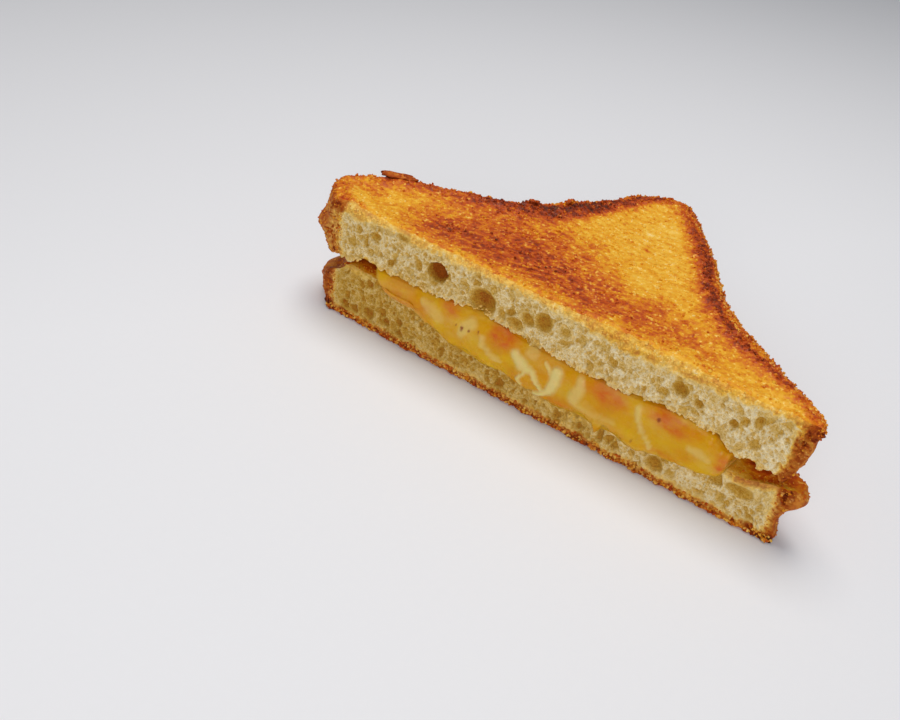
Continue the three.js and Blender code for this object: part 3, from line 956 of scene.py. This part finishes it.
def to_way(x, z, way, wide):
    """How far each place lies from a bent line, in half widths of the line there."""
    best = np.full(len(x), 9.0)
    for (ax, az), (bx, bz), a_wide, b_wide in zip(way, way[1:], wide, wide[1:]):
        run_x, run_z = bx - ax, bz - az
        share = np.clip(((x - ax) * run_x + (z - az) * run_z) / (run_x**2 + run_z**2), 0, 1)
        apart = np.hypot(x - ax - run_x * share, z - az - run_z * share)
        best = np.minimum(best, apart / lerp(a_wide, b_wide, share))
    return best


def cheese_parts():
    """The cheese's edge all round, its way out, how much of a lip it has there, and its section."""
    crust_at, crust_out = crust_point(np.arange(0, CRUST_LENGTH, CHEESE_SPACING))
    cut_x = np.linspace(crust_way[-1, 0], crust_way[0, 0], int(CUT_LENGTH / LIP_SPACING))[:-1]
    at = np.vstack([crust_at, np.column_stack([cut_x, 0 * cut_x])])
    out = np.vstack([crust_out, np.tile((0.0, -1.0), (len(cut_x), 1))])
    on_cut = np.append(np.zeros(len(crust_at), bool), np.ones(len(cut_x), bool))
    edge = place_inside(at, CHEESE_INSET)
    apart = np.hypot(*(edge - np.roll(edge, 1, axis=0)).T)
    keep = apart > 0.05
    at, out, on_cut, edge = at[keep], out[keep], on_cut[keep], edge[keep]
    lip = on_cut * smoothstep(at[:, 0], *LIP_START) * smoothstep(at[:, 0], *LIP_END)
    drawn_in = np.maximum(bump(edge[:, 0], -62.5, 5.5), bump(edge[:, 0], 62, 5))
    edge[:, 1] += 10 * drawn_in * (1 - lip) * smoothstep(edge[:, 1], 14, 4)
    floor = lower_over(*edge.T) + TOUCHING_GAP
    roof = upper_under(*edge.T) - TOUCHING_GAP
    low = np.minimum(lip_low(edge[:, 0]), floor - 0.2)
    knots = [np.stack([0 * floor - 0.6 * (1 - lip), floor], -1)]
    for index, step in enumerate(LIP_SECTION):
        up = (index + 1) / (len(LIP_SECTION) + 1)
        if "tuck" in step:
            lip_z = np.minimum(low + step["tuck"], floor)
        else:
            lip_z = low + step["over"] if "over" in step else lerp(floor, roof, step["share"])
        proud = lerp(CHEESE_EDGE_ROUND * math.sin(math.pi * up), step["out"], lip)
        knots.append(np.stack([proud, lerp(lerp(floor, roof, up), lip_z, lip)], -1))
    knots.append(np.stack([0 * roof - 0.6, roof], -1))
    section = soft_curve(np.array(knots), np.linspace(0, 1, LIP_STEPS))
    return edge, out, lip, section


def cheese_streaks(across, height, front):
    """The cheese's pale strands, warm patches, some of them painted shade, and burnt specks, and how far
    the strands stand out.
    """
    pale, warm, burnt, pushed = np.zeros((4, *height.shape))
    bent_x = across + 0.9 * clouds(54, across, height, 2.6)
    bent_z = height + 0.7 * clouds(55, across, height, 2.2)
    for strand in PALE_STRANDS:
        away = to_way(lerp(across, bent_x, 0.5).ravel(), lerp(height, bent_z, 0.5).ravel(),
                      strand["way"], strand["wide"]).reshape(height.shape)
        pushed = np.maximum(pushed, strand["rise"] * np.sqrt(np.clip(1 - away**2, 0, 1)) * front)
        pale = np.maximum(pale, strand["pale"] * smoothstep(away, 1.7, 0.4))
    for patch in WARM_AND_SHADE_PATCHES:
        away = ((bent_x - patch["x"]) / patch["wide"]) ** 2 + ((bent_z - patch["z"]) / patch["high"]) ** 2
        warm = np.maximum(warm, patch["warm"] * np.exp(-(away**1.5)))
    for speck in BURNT_SPECKS:
        away = np.hypot(across - speck["x"], (height - speck["z"]) * 0.8)
        burnt = np.maximum(burnt, smoothstep(away, speck["wide"], speck["wide"] * 0.4))
    return {"pale": pale, "warm": warm, "burnt": burnt}, pushed


def cheese_mesh():
    """The closed cheese, with how pale and burnt each point of it is, and how warm, partly as painted
    shade.
    """
    edge, out, lip, section = cheese_parts()
    steps, around = section.shape[:2]
    proud, height = section[..., 0], section[..., 1]
    across = np.broadcast_to(edge[:, 0], proud.shape)
    slope = np.gradient(section, axis=0)
    size = np.hypot(slope[..., 0], slope[..., 1]).clip(1e-6)
    face_out, face_up = slope[..., 1] / size, -slope[..., 0] / size
    fade = np.sin(np.pi * np.linspace(0, 1, steps))[:, None] ** 0.6 * lip
    swell = CHEESE_SWELL * clouds(51, across, height * 1.6, 6.5)
    swell = swell + 0.3 * clouds(52, across, height, 2.4) - 0.35
    values, pushed = cheese_streaks(across, height, smoothstep(proud, 0.5, 1.4))
    pushed = swell * fade + pushed
    proud = proud + face_out * pushed
    height = height + face_up * pushed
    points = np.dstack([edge[None, :, 0] + out[None, :, 0] * proud,
                        edge[None, :, 1] + out[None, :, 1] * proud, height])
    index = np.arange(steps * around).reshape(steps, around)
    here, beside = index[:-1], np.roll(index, -1, axis=1)[:-1]
    over, over_beside = index[1:], np.roll(index, -1, axis=1)[1:]
    walls = np.vstack([np.dstack([here, over, beside]).reshape(-1, 3),
                       np.dstack([beside, over, over_beside]).reshape(-1, 3)])
    flat = points.reshape(-1, 3)
    parts, faces = [flat], [walls]
    for ring, touched, gap, flip in ((index[-1], upper_under, -TOUCHING_GAP, False),
                                     (index[0], lower_over, TOUCHING_GAP, True)):
        spots, cap = fill_patch(flat[ring][:, :2], CHEESE_FACE_SPACING, 61 + flip)
        start = sum(len(p) for p in parts)
        cap = np.concatenate([ring, np.arange(start, start + len(spots))])[cap]
        faces.append(cap[:, ::-1] if flip else cap)
        parts.append(np.column_stack([spots, touched(*spots.T) + gap]))
    points = np.vstack(parts)
    rest = np.zeros(len(points) - len(flat))
    values = {name: np.append(numbers, rest) for name, numbers in values.items()}
    return points, np.vstack(faces), values


CHEESE_AMBER = (209, 145, 2)
CHEESE_YELLOW = (215, 166, 4)
CHEESE_PALE = (222, 200, 124)
CHEESE_WARM_AND_SHADE = (206, 100, 20)
SPECK_BROWN = (140, 62, 24)

cheese_finish, tree, shader = new_material(
    "melted_cheese", IOR=1.45, Specular_IOR_Level=0.22, Subsurface_Weight=0.35, Subsurface_Scale=0.003,
    Subsurface_Radius=(1.0, 0.5, 0.18))
marble = grain(tree, 0.006, detail=4, rough=0.6, stretch=(0.6, 1, 1.4))
mottle = grain(tree, 0.0016, detail=3, rough=0.65, stretch=(0.7, 1, 1.2))
yellow = grain(tree, 0.007, detail=5, rough=0.6, stretch=(0.8, 1, 1.3))
pale = maths(tree, "MAXIMUM", point_value(tree, "pale"), remap(tree, marble, 0.48, 0.75, 0.0, 0.3))
warm = maths(tree, "MULTIPLY", point_value(tree, "warm"), remap(tree, mottle, 0.38, 0.6, 0.6, 1.2))
colour = blend(tree, remap(tree, yellow, 0.4, 0.62), shade(*CHEESE_AMBER), shade(*CHEESE_YELLOW))
# The warm colour also lays painted shade on the cheese's left.
colour = blend(tree, warm, colour, shade(*CHEESE_WARM_AND_SHADE))
colour = blend(tree, pale, colour, shade(*CHEESE_PALE))
colour = blend(tree, point_value(tree, "burnt"), colour, shade(*SPECK_BROWN))
tree.links.new(colour, shader.inputs["Base Color"])
wet = grain(tree, 0.0014, detail=2)
tree.links.new(remap(tree, wet, 0.35, 0.7, 0.42, 0.1), shader.inputs["Roughness"])
dent(tree, shader, wet, 0.0003, 0.4)

cheese = make_object("cheese_filling", *cheese_mesh(), [cheese_finish])
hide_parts("melted_cheese")
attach(cheese, "root")


# The upper slice is the same bread, fried on top. It arches over the cheese, and a burnt rim runs
# round its face just inside the crust, with a few loose crags on it.
SANDWICH_TOP = 37
RIM = {"rise": 0.7, "inset": 4, "width": 2.6}
FACE_SAG = 0.9
RIM_CRAGS = rows(
    "x y rise width",
    (-68, 26, 0.6, 3.5), (-33, 44, 0.5, 4), (-23, 55, 0.8, 4.5), (-9, 77, 0.5, 5),
)
UPPER_HOLES = rows(
    "x z wide high deep soft",
    (-35.2, 29.3, 3.5, 3.3, 3.6),
    (-19.5, 27.2, 5.2, 4.6, 2.3, 1.3),
    (-5.2, 28.6, 2.8, 2.2, 1.2, 0.9),
    (-0.4, 29.8, 3.0, 3.4, 1.7, 0.9),
    (-8.6, 25.6, 3.0, 2.2, 1.2, 0.9),
    (6.2, 30.1, 2.5, 2.5, 0.8, 1.0),
    (-57.2, 31.2, 2.1, 1.5, 1.1),
    (-47.7, 35.0, 2.9, 1.6, 1.2),
    (-51.3, 25.2, 1.4, 1.4, 1.3),
    (39.6, 30.0, 2.5, 2.1, 1.7),
    (45.2, 28.4, 1.6, 1.4, 1.3),
    (54.5, 27.9, 1.6, 1.5, 1.3),
    (60.3, 31.4, 1.2, 2.1, 1.3),
    (71.3, 34.2, 0.8, 1.0, 0.9),
    (70.9, 31.6, 1.1, 0.8, 1.2),
    (-71.9, 33.6, 1.0, 1.4, 1.0),
)

# Round the rim: place along the cut's direction, browning and the burnt band's width.
BURNT_RIM = np.array([
    (-76, 0.5, 5), (-71, 0.6, 6), (-69, 0.78, 6.5), (-66, 0.64, 8), (-58, 0.66, 10), (-45, 0.7, 11.5),
    (-34, 0.82, 13), (-22, 0.93, 14.5), (-14, 0.89, 11.5), (-8, 0.75, 9), (0, 0.5, 6), (8, 0.66, 8),
    (16, 0.78, 9.5), (40, 0.8, 9.5), (52, 0.7, 7.5), (66, 0.58, 6), (74, 0.5, 4.5),
])

# How far the frying has reached down the cut: place along it and depth.
FRINGE = np.array([
    (-73, 2.0), (-64, 2.7), (-57, 0.6), (-49, 0.2), (-45, 1.3), (-37, 0.8), (-29, 1.0), (-18, 0.5),
    (-2, 0.4), (10, 1.2), (18, 2.2), (23, 3.2), (32, 2.7), (41, 2.2), (47, 1.6), (57, 0.9), (66, 0.9),
    (73, 1.5),
])

# Broad browned patches of the fried face: middle, reach both ways, and browning added.
FRIED_PATCHES = rows(
    "x y long wide brown",
    (-38, 12, 18, 10, 0.33),
    (-20, 19, 24, 13, 0.30),
    (1, 12, 19, 13, 0.31),
    (27, 14, 16, 10, 0.25),
    (-34, 33, 32, 12, 0.23),
    (-71, 18, 8, 8, 0.16),
    (52, 8, 16, 7, 0.05),
)

# Single marks on the fried face: place, size and browning added.
FACE_SPOTS = rows(
    "x y size brown",
    (2.4, 58.5, 1.5, -0.22), (6, 49, 0.9, 0.3), (9.5, 1.8, 1.0, 0.3), (57, 7, 0.8, 0.22),
    (-47, 6, 0.9, 0.25), (-9, 38, 1.2, 0.14), (-22, 41, 1.3, 0.16), (-5, 31, 1.6, 0.14),
)


def upper_over(x, y):
    depth = crust_distance(x, y)
    crags = [c["rise"] * bump(np.hypot(x - c["x"], y - c["y"]), 0, c["width"]) for c in RIM_CRAGS]
    rim = RIM["rise"] * bump(depth, RIM["inset"], RIM["width"]) - 0.55 * bump(y, 0, 1.9)
    sag = FACE_SAG * smoothstep(depth, 5, 18) * smoothstep(y, -2, 14)
    return SANDWICH_TOP - sag + rim + np.max(crags, axis=0)


def fried_tone(x, y):
    """The upper face's browning before its grain."""
    wx = x + 3.2 * clouds(71, x, y, 9)
    wy = y + 2.6 * clouds(72, x, y, 8)
    left = 1.0
    for patch in FRIED_PATCHES:
        away = ((wx - patch["x"]) / patch["long"]) ** 2 + ((wy - patch["y"]) / patch["wide"]) ** 2
        left = left * (1 - patch["brown"] * 1.5 * np.exp(-(away**1.4)))
    tone = 0.28 + 0.58 * (1 - left)
    for spot in FACE_SPOTS:
        tone += spot["brown"] * bump(np.hypot((wx - spot["x"]) * 0.7, wy - spot["y"]), 0, spot["size"])
    tone += (0.04 + 0.12 * (1 - left)) * clouds(73, x * 0.7, y, 2.0) + 0.05 * clouds(74, x, y, 6)
    brown, width = (np.interp(x, BURNT_RIM[:, 0], BURNT_RIM[:, k]) for k in (1, 2))
    depth = crust_distance(x, y) + 0.9 * clouds(75, x, y, 4.5)
    tone = np.maximum(tone, lerp(tone, 0.6, 0.85 * smoothstep(depth, width * 1.2, width * 0.4)))
    band = smoothstep(depth, 0.5, 2.6) * smoothstep(depth, width * 0.8, width * 0.25)
    tone = lerp(tone, brown + 0.1 * clouds(79, x, y, 1.8), band)
    tone = lerp(tone, 0.5, 0.8 * smoothstep(depth, 1.7, 0.3))
    front = smoothstep(y + 1.2 * clouds(78, x, y, 3), 2.4, 0.0)
    return lerp(tone, 0.24, 0.75 * front)


def face_grain(x, y):
    rough = 0.7 + 2.4 * bump(crust_distance(x, y), 3, 3.5)
    return rough * (0.2 * clouds(76, x, y, 1.3, 2) + 0.1 * clouds(77, x * 0.4, y, 1.5, 2)) - 0.1


def upper_flare(at, level):
    """A torn flap of crust stands out at the left end, the right end leans out, and the rim bulges."""
    x = at[:, 0]
    flap = (2.9 + 0.7 * cloud(97, 40 * level, 0 * x, 5)) * bump(x, -76, 6) * bump(level, 0.30, 0.19)
    hollow = 1.2 * np.sin(np.pi * level) + 1.1 * bump(level, 0.8, 0.17)
    lean = (lerp(-2.8, 1.6, level) - hollow) * bump(x, 75, 7)
    bulge = 2.2 * bump(x, 46, 12) + 1.6 * bump(at[:, 1], 84, 12) + 1.5 * bump(x, -26, 7)
    return flap + lean + bulge * smoothstep(level, 0.2, 0.9)


# Where the cut's lower edge is torn up, and where teeth hang over the gaps: place, height and reach.
TEARS = rows(
    "x up wide",
    (-59.8, 1.7, 1.9), (-49, 0.8, 3), (61.4, 0.7, 2.2), (51, 0.9, 2), (-63.2, -0.7, 1.2),
    (-54.4, -0.5, 1.6),
)


def torn_edge(x):
    """How far the cut's lower edge is torn up."""
    x = x + 0.3 * clouds(102, x, 0 * x, 1.2)
    torn = sum(tear["up"] * bump(x, tear["x"], tear["wide"]) for tear in TEARS)
    return torn - 0.75 * cloud(110, x, 0 * x, 0.8) + 1.3 * clouds(84, x, 0 * x, 2.4)


upper_slice = {
    "fried": "upper",
    "foot_drag": 0,
    "roll": lambda x: 1.4 + 0.55 * np.interp(x, *FRINGE.T),
    "under": upper_under,
    "over": upper_over,
    "flare": upper_flare,
    "crumb": CutCrumb(81, 19, 38, UPPER_HOLES),
    "crust_relief": crust_roughness(82),
    "edge_lift": edge_crumbs(83),
    "low_edge": torn_edge,
    "over_grain": face_grain,
    "under_grain": lambda x, y: 0.2 * clouds(86, x, y, 1.6),
}
points, triangles, kinds = bread_mesh(upper_slice, 91)
x, y, z = points.T
kind = vertex_kinds(len(points), triangles, kinds)
inside = crust_distance(x, y)
plain = 0.12 + 0.5 * smoothstep(inside, 9, 2) + 0.28 * smoothstep(np.abs(x), 54, 62)
crust_tone = 0.5 + 0.09 * clouds(92, x + y, z, 5) + 0.12 * clouds(96, x + y, z, 1.5)
crust_tone += 0.08 * smoothstep(z, 34, 36.5) + 0.24 * clouds(109, x - y, z, 1.3) * smoothstep(y, 10, 4)
from_top = upper_over(x, 0 * x) - z
fringe = from_top + 1.3 * clouds(93, x, z, 1.7) - np.interp(x, *FRINGE.T)
cut_tone = 0.02 + (0.18 + 0.06 * clouds(101, x, z, 0.9, 2)) * smoothstep(fringe, 1.7, -0.6)
cut_tone += 0.06 * smoothstep(fringe, 4.0, 0.5)
cut_tone += 0.08 * smoothstep(z - upper_under(x, 0 * x) + 1.2 * clouds(94, x, z, 2), 2.8, 0.2)
skin = smoothstep(np.abs(x) + 0.06 * (36 - z) * (x > 0) + 1.2 * clouds(95, x, z, 1.6), 68.0, 71.4)
pores = smoothstep(cloud(100, x, z, 0.75), 0.3, 0.7)
skin_tone = 0.32 + 0.12 * smoothstep(x, -20, 20) + 0.16 * clouds(99, x, z, 1.0, 2) + 0.26 * pores
cut_tone += skin * skin_tone
upper_toast = np.choose(kind, [fried_tone(x, y), plain, crust_tone, cut_tone])
filled = 1 - 0.8 * smoothstep(fringe, 1.8, -0.5)
pits = 0.05 * smoothstep(x, 25, -5) + crumb_pits(upper_slice, points) * filled
pit = np.where(kind == CRUMB, pits, 0)
upper_bread = make_object("upper_slice_bread", points, triangles, {"toast": upper_toast, "pit": pit},
                          BREAD_FINISHES, kinds)
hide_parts("upper_bread_slice")
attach(upper_bread, "root")


# Crumbs of toast cling to the burnt rim, to the crust and its edges, to the torn edge and along the
# foot of the cut, and lie heaped in crags on the rim. They are the bread's own, broken off by the knife
# and the pan. The single ones are seated on the slices' surfaces, and the heaped ones over the rim.
RIM_CRUMB = {"size": (0.20, 0.50), "stand": (-0.3, 0.5)}
BURNT_CRUMB = {"size": (0.18, 0.42), "stand": (-0.3, 0.5)}
FOOT_CRUMB = {"size": (0.18, 0.58), "stand": (-0.6, 0.35)}
FRINGE_CRUMB = {"size": (0.16, 0.36), "stand": (-0.3, 0.5)}
END_CRUMB = {"size": (0.16, 0.4), "stand": (-0.7, 0.2)}
TORN_CRUMB = {"size": (0.16, 0.38), "stand": (-0.3, 0.5)}
CRUST_CRUMB = {"size": (0.16, 0.34), "stand": (-0.3, 0.5)}
CRUMB_ROUGHNESS = 0.00025
CRUMB_STRETCH = (0.55, 1.25)
CRUMB_GRAIN = 1600.0
LOWEST_CRUMB = 0.15

# Crags on the rim: place along the cut, how far out of the rim and up, reach, lumps and browning.
CRAG_CRUMBS = rows(
    "x out up long wide count size toast",
    (-69.0, -1.2, 1.0, 4.4, 0.8, 130, 0.5, 0.74),
    (-47.5, -1.4, 0.3, 1.6, 0.5, 40, 0.5, 0.6),
    (-33.0, -1.1, 1.5, 3.2, 0.7, 120, 0.6, 0.75),
    (-25.0, -0.8, 1.9, 1.8, 0.8, 80, 0.65, 0.52),
    (-19.0, -1.4, 0.8, 2.5, 0.6, 60, 0.55, 0.85),
    (-6.0, -1.4, 0.6, 2.0, 0.6, 40, 0.5, 0.5),
)
CRAG_TOP = 38.8


def seat_mesh(name, spots, sizes, toast, pit):
    """Loose seats in millimetres along the cut, each with the size and browning of what grows on it."""
    mesh = bpy.data.meshes.new(name)
    mesh.from_pydata(part_frame(spots).tolist(), [], [])
    add_values(mesh, size=sizes * MILLIMETRE, toast=toast, pit=pit)
    return mesh


def node_tree(name, inputs):
    """An empty Geometry Nodes tree with named inputs, and its way in and out."""
    tree = bpy.data.node_groups.new(name, "GeometryNodeTree")
    for title, kind in {"Seats": "Geometry", **inputs}.items():
        tree.interface.new_socket(title, in_out="INPUT", socket_type="NodeSocket" + kind)
    tree.interface.new_socket("Pieces", in_out="OUTPUT", socket_type="NodeSocketGeometry")
    return tree, tree.nodes.new("NodeGroupInput").outputs, tree.nodes.new("NodeGroupOutput").inputs


def random_spread(tree, low, high, seed):
    sockets = {"Min": (low,) * 3, "Max": (high,) * 3, "Seed": seed}
    return add_node(tree, "FunctionNodeRandomValue", sockets, data_type="FLOAT_VECTOR").outputs["Value"]


def scatter(tree, way_in, way_out, shape, material):
    """Puts a turned and sized copy of a shape on every seat, makes them real and roughens them."""
    turned = random_spread(tree, -math.pi, math.pi, way_in["Seed"])
    turned = add_node(tree, "FunctionNodeEulerToRotation", {"Euler": turned}).outputs["Rotation"]
    size = add_node(tree, "GeometryNodeInputNamedAttribute", {"Name": "size"}, data_type="FLOAT")
    uneven = random_spread(tree, *CRUMB_STRETCH, way_in["Seed"])
    sockets = {0: uneven, "Scale": size.outputs["Attribute"]}
    scale = add_node(tree, "VectorMath", sockets, operation="SCALE").outputs[0]
    placed = add_node(tree, "GeometryNodeInstanceOnPoints", {
        "Points": way_in["Seats"], "Instance": shape, "Rotation": turned, "Scale": scale})
    real = add_node(tree, "GeometryNodeRealizeInstances", {"Geometry": placed.outputs["Instances"]})
    noise = add_node(tree, "TexNoise", {"Scale": CRUMB_GRAIN, "Detail": 1.0}).outputs["Color"]
    push = add_node(tree, "VectorMath", {0: noise, 1: (0.5, 0.5, 0.5)}, operation="SUBTRACT").outputs[0]
    sockets = {0: push, "Scale": way_in["Roughness"]}
    push = add_node(tree, "VectorMath", sockets, operation="SCALE").outputs[0]
    sockets = {"Geometry": real.outputs["Geometry"], "Offset": push}
    rough = add_node(tree, "GeometryNodeSetPosition", sockets)
    sockets = {"Geometry": rough.outputs["Geometry"], "Material": material}
    finished = add_node(tree, "GeometryNodeSetMaterial", sockets)
    tree.links.new(finished.outputs["Geometry"], way_out["Pieces"])


def grown(name, seats, tree, **amounts):
    """Runs a tree on a mesh of seats and keeps what it makes as a plain piece."""
    piece = bpy.data.objects.new(name, seats)
    bpy.context.scene.collection.objects.link(piece)
    modifier = piece.modifiers.new("growth", "NODES")
    modifier.node_group = tree
    for item in tree.interface.items_tree:
        if item.name in amounts:
            modifier[item.identifier] = amounts[item.name]
    evaluated = piece.evaluated_get(bpy.context.evaluated_depsgraph_get())
    mesh = bpy.data.meshes.new_from_object(evaluated)
    piece.modifiers.remove(modifier)
    piece.data = mesh
    return piece


def vertex_places(mesh):
    places = np.empty(len(mesh.vertices) * 3)
    mesh.vertices.foreach_get("co", places)
    return places.reshape(-1, 3)


def seats_on(rng, piece, mask, count):
    """Random points of a piece where the mask holds: which, where in millimetres, and their way out."""
    chosen = rng.choice(np.flatnonzero(mask), count)
    normals = np.empty(len(mask) * 3, np.float32)
    piece.data.vertex_normals.foreach_get("vector", normals)
    places = (vertex_places(piece.data)[chosen] - np.array(CUT_MIDDLE)) / MILLIMETRE
    return chosen, places, normals.reshape(-1, 3)[chosen]


# Every lot of crumbs: their places, sizes, browning and how pale they are.
rng = np.random.default_rng(401)
sown = []


def sow(piece, mask, count, crumb, lightest, darkest, pale=0.0):
    """Sows a lot of one kind of crumb where the mask holds, and says which points it chose."""
    chosen, places, ways = seats_on(rng, piece, mask, count)
    size = lerp(*crumb["size"], rng.random(count) ** 2.2)
    spots = places + ways * (size * rng.uniform(*crumb["stand"], count))[:, None]
    sown.append((spots, size, rng.uniform(lightest, darkest, count), np.full(count, pale)))
    return chosen


low_x, low_y, low_z = lower_points.T
cut, crust, face = kind == CRUMB, kind == CRUST, kind == FRIED_FACE
low_cut, low_crust, low_face = lower_kind == CRUMB, lower_kind == CRUST, lower_kind == PLAIN_FACE
rim_edge = (crust & (z > 35.6)) | (face & (inside < 1.2))
torn = cut & (z < upper_under(x, 0 * x) + 1.0) & (np.abs(x) < 68)
sow(upper_bread, rim_edge, 1100, RIM_CRUMB, 0.36, 0.66)
sow(upper_bread, rim_edge & (x > 8), 500, RIM_CRUMB, 0.24, 0.42, pale=0.2)
sow(upper_bread, face & (upper_toast > 0.66), 900, BURNT_CRUMB, 0.55, 0.88)
sow(upper_bread, crust & (z < 22.5), 300, RIM_CRUMB, 0.4, 0.65)
sow(upper_bread, cut & (from_top < 1.6) & (np.abs(x) < 67), 360, FRINGE_CRUMB, 0.14, 0.24, pale=0.05)
sow(lower_bread, low_cut & (low_z < 2.0), 1250, FOOT_CRUMB, 0.2, 0.5, pale=0.12)
sow(lower_bread, low_crust & (low_z < 1.6), 420, FOOT_CRUMB, 0.38, 0.62)
sow(lower_bread, low_cut & (low_z < 1.0), 300, FOOT_CRUMB, 0.5, 0.8)
sow(lower_bread, low_cut & (np.abs(low_x) > 70.5), 150, END_CRUMB, 0.42, 0.62)
sow(upper_bread, cut & (np.abs(x) > 69.8), 150, END_CRUMB, 0.36, 0.58)
sow(lower_bread, low_face & (low_y < 4) & (np.abs(low_x) > 54), 200, END_CRUMB, 0.2, 0.5)
sow(upper_bread, torn, 420, TORN_CRUMB, 0.06, 0.18, pale=0.1)
sow(lower_bread, low_crust, 1100, CRUST_CRUMB, 0.34, 0.68)
sow(upper_bread, crust, 1100, CRUST_CRUMB, 0.34, 0.68)
sow(upper_bread, crust & (x < -72), 110, END_CRUMB, 0.36, 0.6)
low_end = low_x < -67 + 3 * clouds(104, low_x, low_z, 3)
sow(lower_bread, low_crust & low_end & (low_z > 11), 180, END_CRUMB, 0.36, 0.56)
sow(lower_bread, low_crust & (low_z > 16), 400, RIM_CRUMB, 0.4, 0.65)
for crag in CRAG_CRUMBS:
    count = crag["count"]
    along, aside, lift = rng.normal(0, 0.5, (3, count))
    reach = np.interp(crag["x"], crust_way[:, 0], way_length) + along * crag["long"]
    at, out = crust_point(reach)
    at = at + out * (crag["out"] + aside * crag["wide"])[:, None]
    heap = crag["up"] * (1 - along**2).clip(0) * rng.random(count) + 0.1 * lift
    spots = np.column_stack([at, np.minimum(upper_over(*at.T) + heap, CRAG_TOP) - 0.3])
    size = crag["size"] * rng.uniform(0.4, 1.0, count)
    sown.append((spots, size, crag["toast"] + rng.uniform(-0.14, 0.14, count), np.zeros(count)))
spots, sizes, tones, paleness = (np.concatenate(parts) for parts in zip(*sown))
spots[:, 2] = np.maximum(spots[:, 2], 1.25 * sizes + LOWEST_CRUMB)

crumb_tree, way_in, way_out = node_tree("toast_crumb_maker", {"Roughness": "Float", "Seed": "Int"})
lump = add_node(crumb_tree, "GeometryNodeMeshIcoSphere", {"Radius": 1.0, "Subdivisions": 1})
scatter(crumb_tree, way_in, way_out, lump.outputs["Mesh"], fried_face)
seats = seat_mesh("toast_crumbs", spots, sizes, tones, paleness)
crumbs = grown("toast_crumbs", seats, crumb_tree, Roughness=CRUMB_ROUGHNESS, Seed=7)
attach(crumbs, "root")


# A thin flake of baked crust has come loose at the rim's left. Its root lies on the rim, and its free
# end stands out over the edge. It is a ball pressed flat, bent round the rim and torn at its edges.
FLAKE = {"x": -69.8, "long": 5.6, "wide": 1.7, "thick": 0.5, "top": 0.64, "shaded_below": 0.9}
FLAKE_HEIGHT = (38.5, 37.75)
FLAKE_OUT = (-0.5, -1.4)

bpy.ops.mesh.primitive_ico_sphere_add(subdivisions=5, radius=1)
flake = bpy.context.object
flake.name = "crust_flake"
u, v, w = vertex_places(flake.data).T
ragged = 1 + 0.26 * clouds(105, 3 * u, 3 * v, 1.1)
thin = np.sign(w) * np.abs(w) ** 0.5
share = (u + 1) / 2
reach = FLAKE["long"] * np.sign(u) * np.abs(u) ** 0.8 * ragged
at, out = crust_point(np.interp(FLAKE["x"], crust_way[:, 0], way_length) + reach)
at = at + out * (lerp(*FLAKE_OUT, share) + FLAKE["wide"] * v * ragged)[:, None]
height = lerp(*FLAKE_HEIGHT, share) + FLAKE["thick"] * thin + 0.3 * clouds(106, *at.T, 1.5) * (w < 0.2)
height += 0.22 * clouds(107, *at.T, 1.0)
flake.data.vertices.foreach_set("co", part_frame(np.column_stack([at, height])).ravel())
# Painted shade: the flake's underside is painted darker brown than its top.
toast = np.where(w > 0, FLAKE["top"], FLAKE["shaded_below"]) + 0.1 * clouds(108, *at.T, 1.2)
add_values(flake.data, toast=toast, pit=0 * toast)
flake.data.materials.append(crust_skin)
flake.data.shade_smooth()
flake.data.update()
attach(flake, "root")


# Single grains of crumb have crisped in the butter and stand up from the fried face, some paler than
# it and some darker. They grow as the crumbs of toast do.
FACE_GRAIN = {"size": (0.22, 0.6), "stand": (-0.7, 0.05)}
FACE_GRAINS = 4600
GRAIN_ROUGHNESS = 0.0002

chosen = sow(upper_bread, face & (inside > 0.5), FACE_GRAINS, FACE_GRAIN, -0.2, 0.1)
spots, sizes, darker, paleness = sown[-1]
tones = np.clip(upper_toast[chosen] + darker, 0.16, 0.95)
seats = seat_mesh("fried_grains", spots, sizes, tones, paleness)
grains = grown("fried_grains", seats, crumb_tree, Roughness=GRAIN_ROUGHNESS, Seed=9)
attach(grains, "root")
